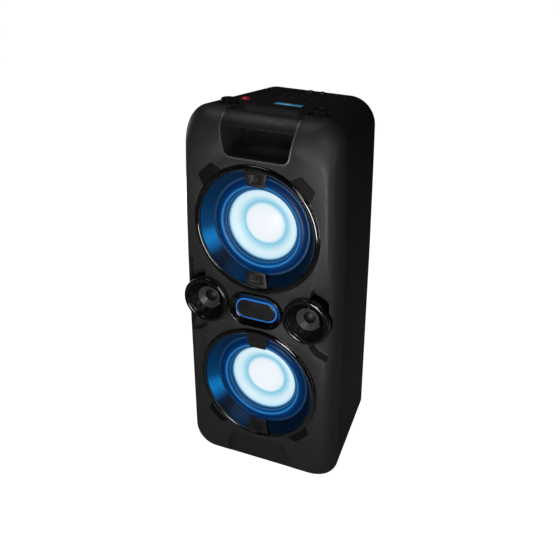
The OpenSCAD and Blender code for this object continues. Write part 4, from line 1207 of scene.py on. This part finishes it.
M["lcd"] = lcd_mat()
bz = flat_prism("display_bezel", round_rect(60, 26, 2.8, 6), -2.4, 0.8, (), edge=0.4, seg=3)
boolean(bz, [flat_prism("t", round_rect(51, 17, 1.2, 4), 0.15, 4)])
finish_mesh(bz); bz.data.materials.append(M["lcd_bezel"])
place(on_top(bz, LX, LD), "root", ["display_lens"])
win = flat_prism("display_window", round_rect(50.6, 16.6, 1.0, 4), 0.1, 0.42, M["lcd"], edge=0.12, seg=2)
place(on_top(win, LX, LD), "root")
M["lcd_ink"] = glow("display_ink", (120, 190, 220), 0.6)
bars = []
for i in range(9):
    hh = [4, 7, 9, 6, 8, 10, 7, 5, 3][i]
    q = flat_prism("t", [(-20 + i * 3.2, -6), (-18 + i * 3.2, -6), (-18 + i * 3.2, -6 + hh), (-20 + i * 3.2, -6 + hh)], 0.42, 0.47, M["lcd_ink"])
    bars.append(q)
bj = join("display_level_bars", bars); finish_mesh(bj)
place(on_top(bj, LX, LD), "root")
paint("display_module", M["circuit"]); paint("control_board", M["circuit"])

# ------------------------------------------------------------------ rear panel, sockets, inlet, rocker
rp = back_prism("rear_plate", 163.4, 303.4, 7.7, 1.6, 4.2, (), edge=0.0)
boolean(rp, [back_prism("t", 27.4, 20.4, 2, -5, 20, x=-45, z=130), back_prism("t", 19.4, 13.4, 1, -5, 20, x=10, z=130)])
for x in (-78, 78):
    for z in (104, 201, 299, 396):
        boolean(rp, [cyl_y("t", x, z, 1.75, BODY_D - 20, BODY_D + 6, 24)])
for i in range(4):
    boolean(rp, [cyl_y("t", -52 + 30 * i, 372, 5 if i < 2 else 7, BODY_D - 20, BODY_D + 6, 48)])
# three pressed reinforcing grooves, open to the outside
for k, z in enumerate((180, 220, 335)):
    boolean(rp, [back_prism("t", 110, 4, 1.9, 0.5, 2.4, x=0, z=z)])
soften(rp, 0.35, 2, sharp=34)
rp.data.materials.append(M["rear"])
place(rp, "root", ["rear_panel"])
sc_ = []
for x in (-78, 78):
    for z in (104, 201, 299, 396):
        h = lathe("t", x, z, [(0, BODY_D - 9), (1.7, BODY_D - 9), (1.7, BODY_D - 1.6), (3.1, BODY_D - 1.6), (3.1, BODY_D - 0.7), (2.6, BODY_D - 0.35), (0, BODY_D - 0.2)], M["steel"], n=32, closed=False)
        boolean(h, [pushed("t", [(x - 2.1, z - 0.4), (x + 2.1, z - 0.4), (x + 2.1, z + 0.4), (x - 2.1, z + 0.4)], BODY_D - 1.2, BODY_D + 2),
                    pushed("t", [(x - 0.4, z - 2.1), (x + 0.4, z - 2.1), (x + 0.4, z + 2.1), (x - 0.4, z + 2.1)], BODY_D - 1.2, BODY_D + 2)])
        sc_.append(h)
sj = join("rear_panel_screws", sc_); finish_mesh(sj)
place(sj, "root", ["panel_screws"])
# mains inlet: shroud with a figure-of-eight well and two pins
inl = back_prism("inlet_shroud", 27, 20, 1.8, 1, 22, (), x=-45, z=130, edge=0.0)
boolean(inl, [back_prism("t", 21, 11, 4, -5, 14, x=-45, z=130)])
soften(inl, 0.5, 2, sharp=40)
inl.data.materials.append(M["socket"])
place(inl, "root", ["mains_inlet"])
for k, dx in enumerate((-4.3, 4.3)):
    pin = lathe("inlet_pin_%d" % (k + 1), -45 + dx, 130, [(0, BODY_D - 5.2), (0.8, BODY_D - 5.2), (1.2, BODY_D - 6), (1.2, BODY_D - 14.5), (0, BODY_D - 14.5)], M["nickel"], n=32, closed=False)
    place(pin, "root")
rk_pts = fillet([(-6, 1.8), (0, 0.6), (6, 2.6), (4.4, -7), (-4.4, -7)], [0.6, 2.5, 0.6, 0.6, 0.6], 4)
rc = side("rocker_key", [(BODY_D - 4.2 + b2, 130 + a2) for a2, b2 in rk_pts], 10 - 8.6, 10 + 8.6)
soften(rc, 0.3, 2, sharp=40)
rc.data.materials.append(M["socket"])
place(rc, "power_switch_body", ["power_switch"])
# sockets: a turned collar round a deep bore
for i in range(4):
    x = -52 + 30 * i; ro = 4.8 if i < 2 else 6.8; ri = 1.8 if i < 2 else 3.25
    col = lathe("socket_collar_%d" % (i + 1), x, 372, fillet([(ri, BODY_D - 8), (ri, BODY_D - 2.7), (ri + 0.6, BODY_D - 1.9), (ro - 0.4, BODY_D - 1.9), (ro - 0.1, BODY_D - 2.4), (ro - 0.1, BODY_D - 8)], [0, 0.2, 0.3, 0.3, 0.2, 0], 3), M["nickel"] if i >= 2 else M["socket"], n=48)
    place(col, "root")
paint("amplifier_board", M["circuit"]); paint("power_supply", M["circuit"])

# ------------------------------------------------------------------ feet
ft = []
for x in (-88, 88):
    for d in (84, 222):
        xx = x * (0.8 if d > 100 else 1)
        zt = bot_z(d) - 0.05
        f_ = turned_z("t", [(0, 0.0), (11.4, 0.0), (12.4, 0.3), (13.0, 1.0), (13.3, 3.0), (14.0, zt + 1.0), (0, zt + 1.0)], M["rubber"], 64, closed=False)
        for v_ in f_.data.vertices:                # trim the top to the sloping underside
            if v_.co.z > (zt - 1.0) * MM:
                v_.co.z = (bot_z(d + v_.co.y / MM) - 0.05) * MM
        f_.data.transform(Matrix.Translation((xx * MM, (FY + d) * MM, 0)))
        ring_ = turned_z("t", [(8.6, 0.0), (9.6, 0.0), (9.6, 0.7), (8.6, 0.7)], (), 48)
        ring_.data.transform(Matrix.Translation((xx * MM, (FY + d) * MM, -0.1 * MM)))
        boolean(f_, [ring_])
        ft.append(f_)
fj = join("feet", ft); finish_mesh(fj)
place(fj, "root", ["rubber_feet"])

# ------------------------------------------------------------------ stage, light, camera
sc = bpy.context.scene
sc.view_settings.view_transform = "Standard"
sc.view_settings.look = "None"


def plane(name, pts):
    me = bpy.data.meshes.new(name)
    me.from_pydata(pts, [], [(0, 1, 2, 3)])
    ob = bpy.data.objects.new(name, me)
    sc.collection.objects.link(ob)
    return ob


fm, nt, b = material("floor_pale")
nt.links.new(ramp(nt, noise(nt, 3.0), [(0.3, (0.40, 0.40, 0.40)), (0.7, (0.42, 0.42, 0.42))]), b.inputs["Base Color"])
b.inputs["Roughness"].default_value = 0.9
b.inputs["Specular IOR Level"].default_value = 0.1
# the sweep is lit white for the lens only, so that it throws little light up at the object
lpf = nt.nodes.new("ShaderNodeLightPath")
stf = nt.nodes.new("ShaderNodeMapRange")
stf.inputs["To Min"].default_value = 0.0; stf.inputs["To Max"].default_value = 1.0
nt.links.new(lpf.outputs["Is Camera Ray"], stf.inputs["Value"])
nt.links.new(stf.outputs["Result"], b.inputs["Emission Strength"])
b.inputs["Emission Color"].default_value = (1, 1, 1, 1)
floor = plane("floor", [(-9, -9, 0), (9, -9, 0), (9, 9, 0), (-9, 9, 0)])
floor.data.materials.append(fm)

world = bpy.data.worlds.new("studio")
sc.world = world
world.use_nodes = True
wn = world.node_tree
bg = wn.nodes["Background"]
bg.inputs["Color"].default_value = (1, 1, 1, 1)
# white backdrop for the lens, a much weaker fill for the object
lp = wn.nodes.new("ShaderNodeLightPath")
st = wn.nodes.new("ShaderNodeMapRange")
st.inputs["To Min"].default_value = 0.012; st.inputs["To Max"].default_value = 1.0
wn.links.new(lp.outputs["Is Camera Ray"], st.inputs["Value"])
wn.links.new(st.outputs["Result"], bg.inputs["Strength"])


def area(name, loc, target, size, power, color=(1, 1, 1), size_y=None, cam=False, spread=180):
    L = bpy.data.lights.new(name, "AREA")
    L.energy = power; L.color = color
    L.shape = "RECTANGLE"; L.size = size; L.size_y = size_y or size
    L.spread = math.radians(spread)
    o = bpy.data.objects.new(name, L)
    o.location = loc
    d = Vector(target) - Vector(loc)
    o.rotation_euler = d.to_track_quat("-Z", "Y").to_euler()
    sc.collection.objects.link(o)
    o.visible_camera = cam
    return o


area("face_soft", (0.11, -0.66, 0.44), (0.13, -0.12, 0.60), 0.18, 2.1, size_y=0.26)
area("key_right", (0.42, -0.66, 0.95), (0.12, -0.12, 0.55), 0.20, 0.8)
area("top_soft", (-0.35, -0.10, 1.7), (0, 0.05, 0.7), 0.5, 2.0)
area("left_strip", (-1.1, -0.9, 0.75), (0, -0.1, 0.42), 0.020, 0.22, size_y=1.5)
area("low_strip", (-0.2, -1.3, 0.10), (0, -0.1, 0.35), 1.2, 0.12, size_y=0.03)
area("right_strip", (1.2, -0.40, 0.55), (0.14, 0.0, 0.45), 0.10, 1.3, size_y=1.1)
area("back_soft", (-0.9, 1.3, 0.25), (0, 0.12, 0.33), 0.5, 6.0)
area("left_back", (-1.3, 0.35, 0.55), (-0.12, 0.05, 0.40), 0.5, 2.0)

cam_d = bpy.data.cameras.new("camera")
cam = bpy.data.objects.new("camera", cam_d)
sc.collection.objects.link(cam)
cam_d.sensor_width = 36.0
cam_d.lens = 888.8 / 560 * 36
cam_d.shift_x = (280 - 275.167) / 560
cam_d.shift_y = (275.635 - 280) / 560
cam_d.clip_start, cam_d.clip_end = 0.05, 60
az, el = math.radians(24.896), math.radians(27.242)
back = Vector((math.sin(az) * math.cos(el), -math.cos(az) * math.cos(el), math.sin(el)))
target = Vector((0.3086 * 0.12, FY * MM, (203.2 + 120 * 2.0080) * MM))
cam.location = target + back * (13.032 * 0.12)
cam.rotation_mode = "QUATERNION"
cam.rotation_quaternion = (-back).to_track_quat("-Z", "Y")
sc.camera = cam
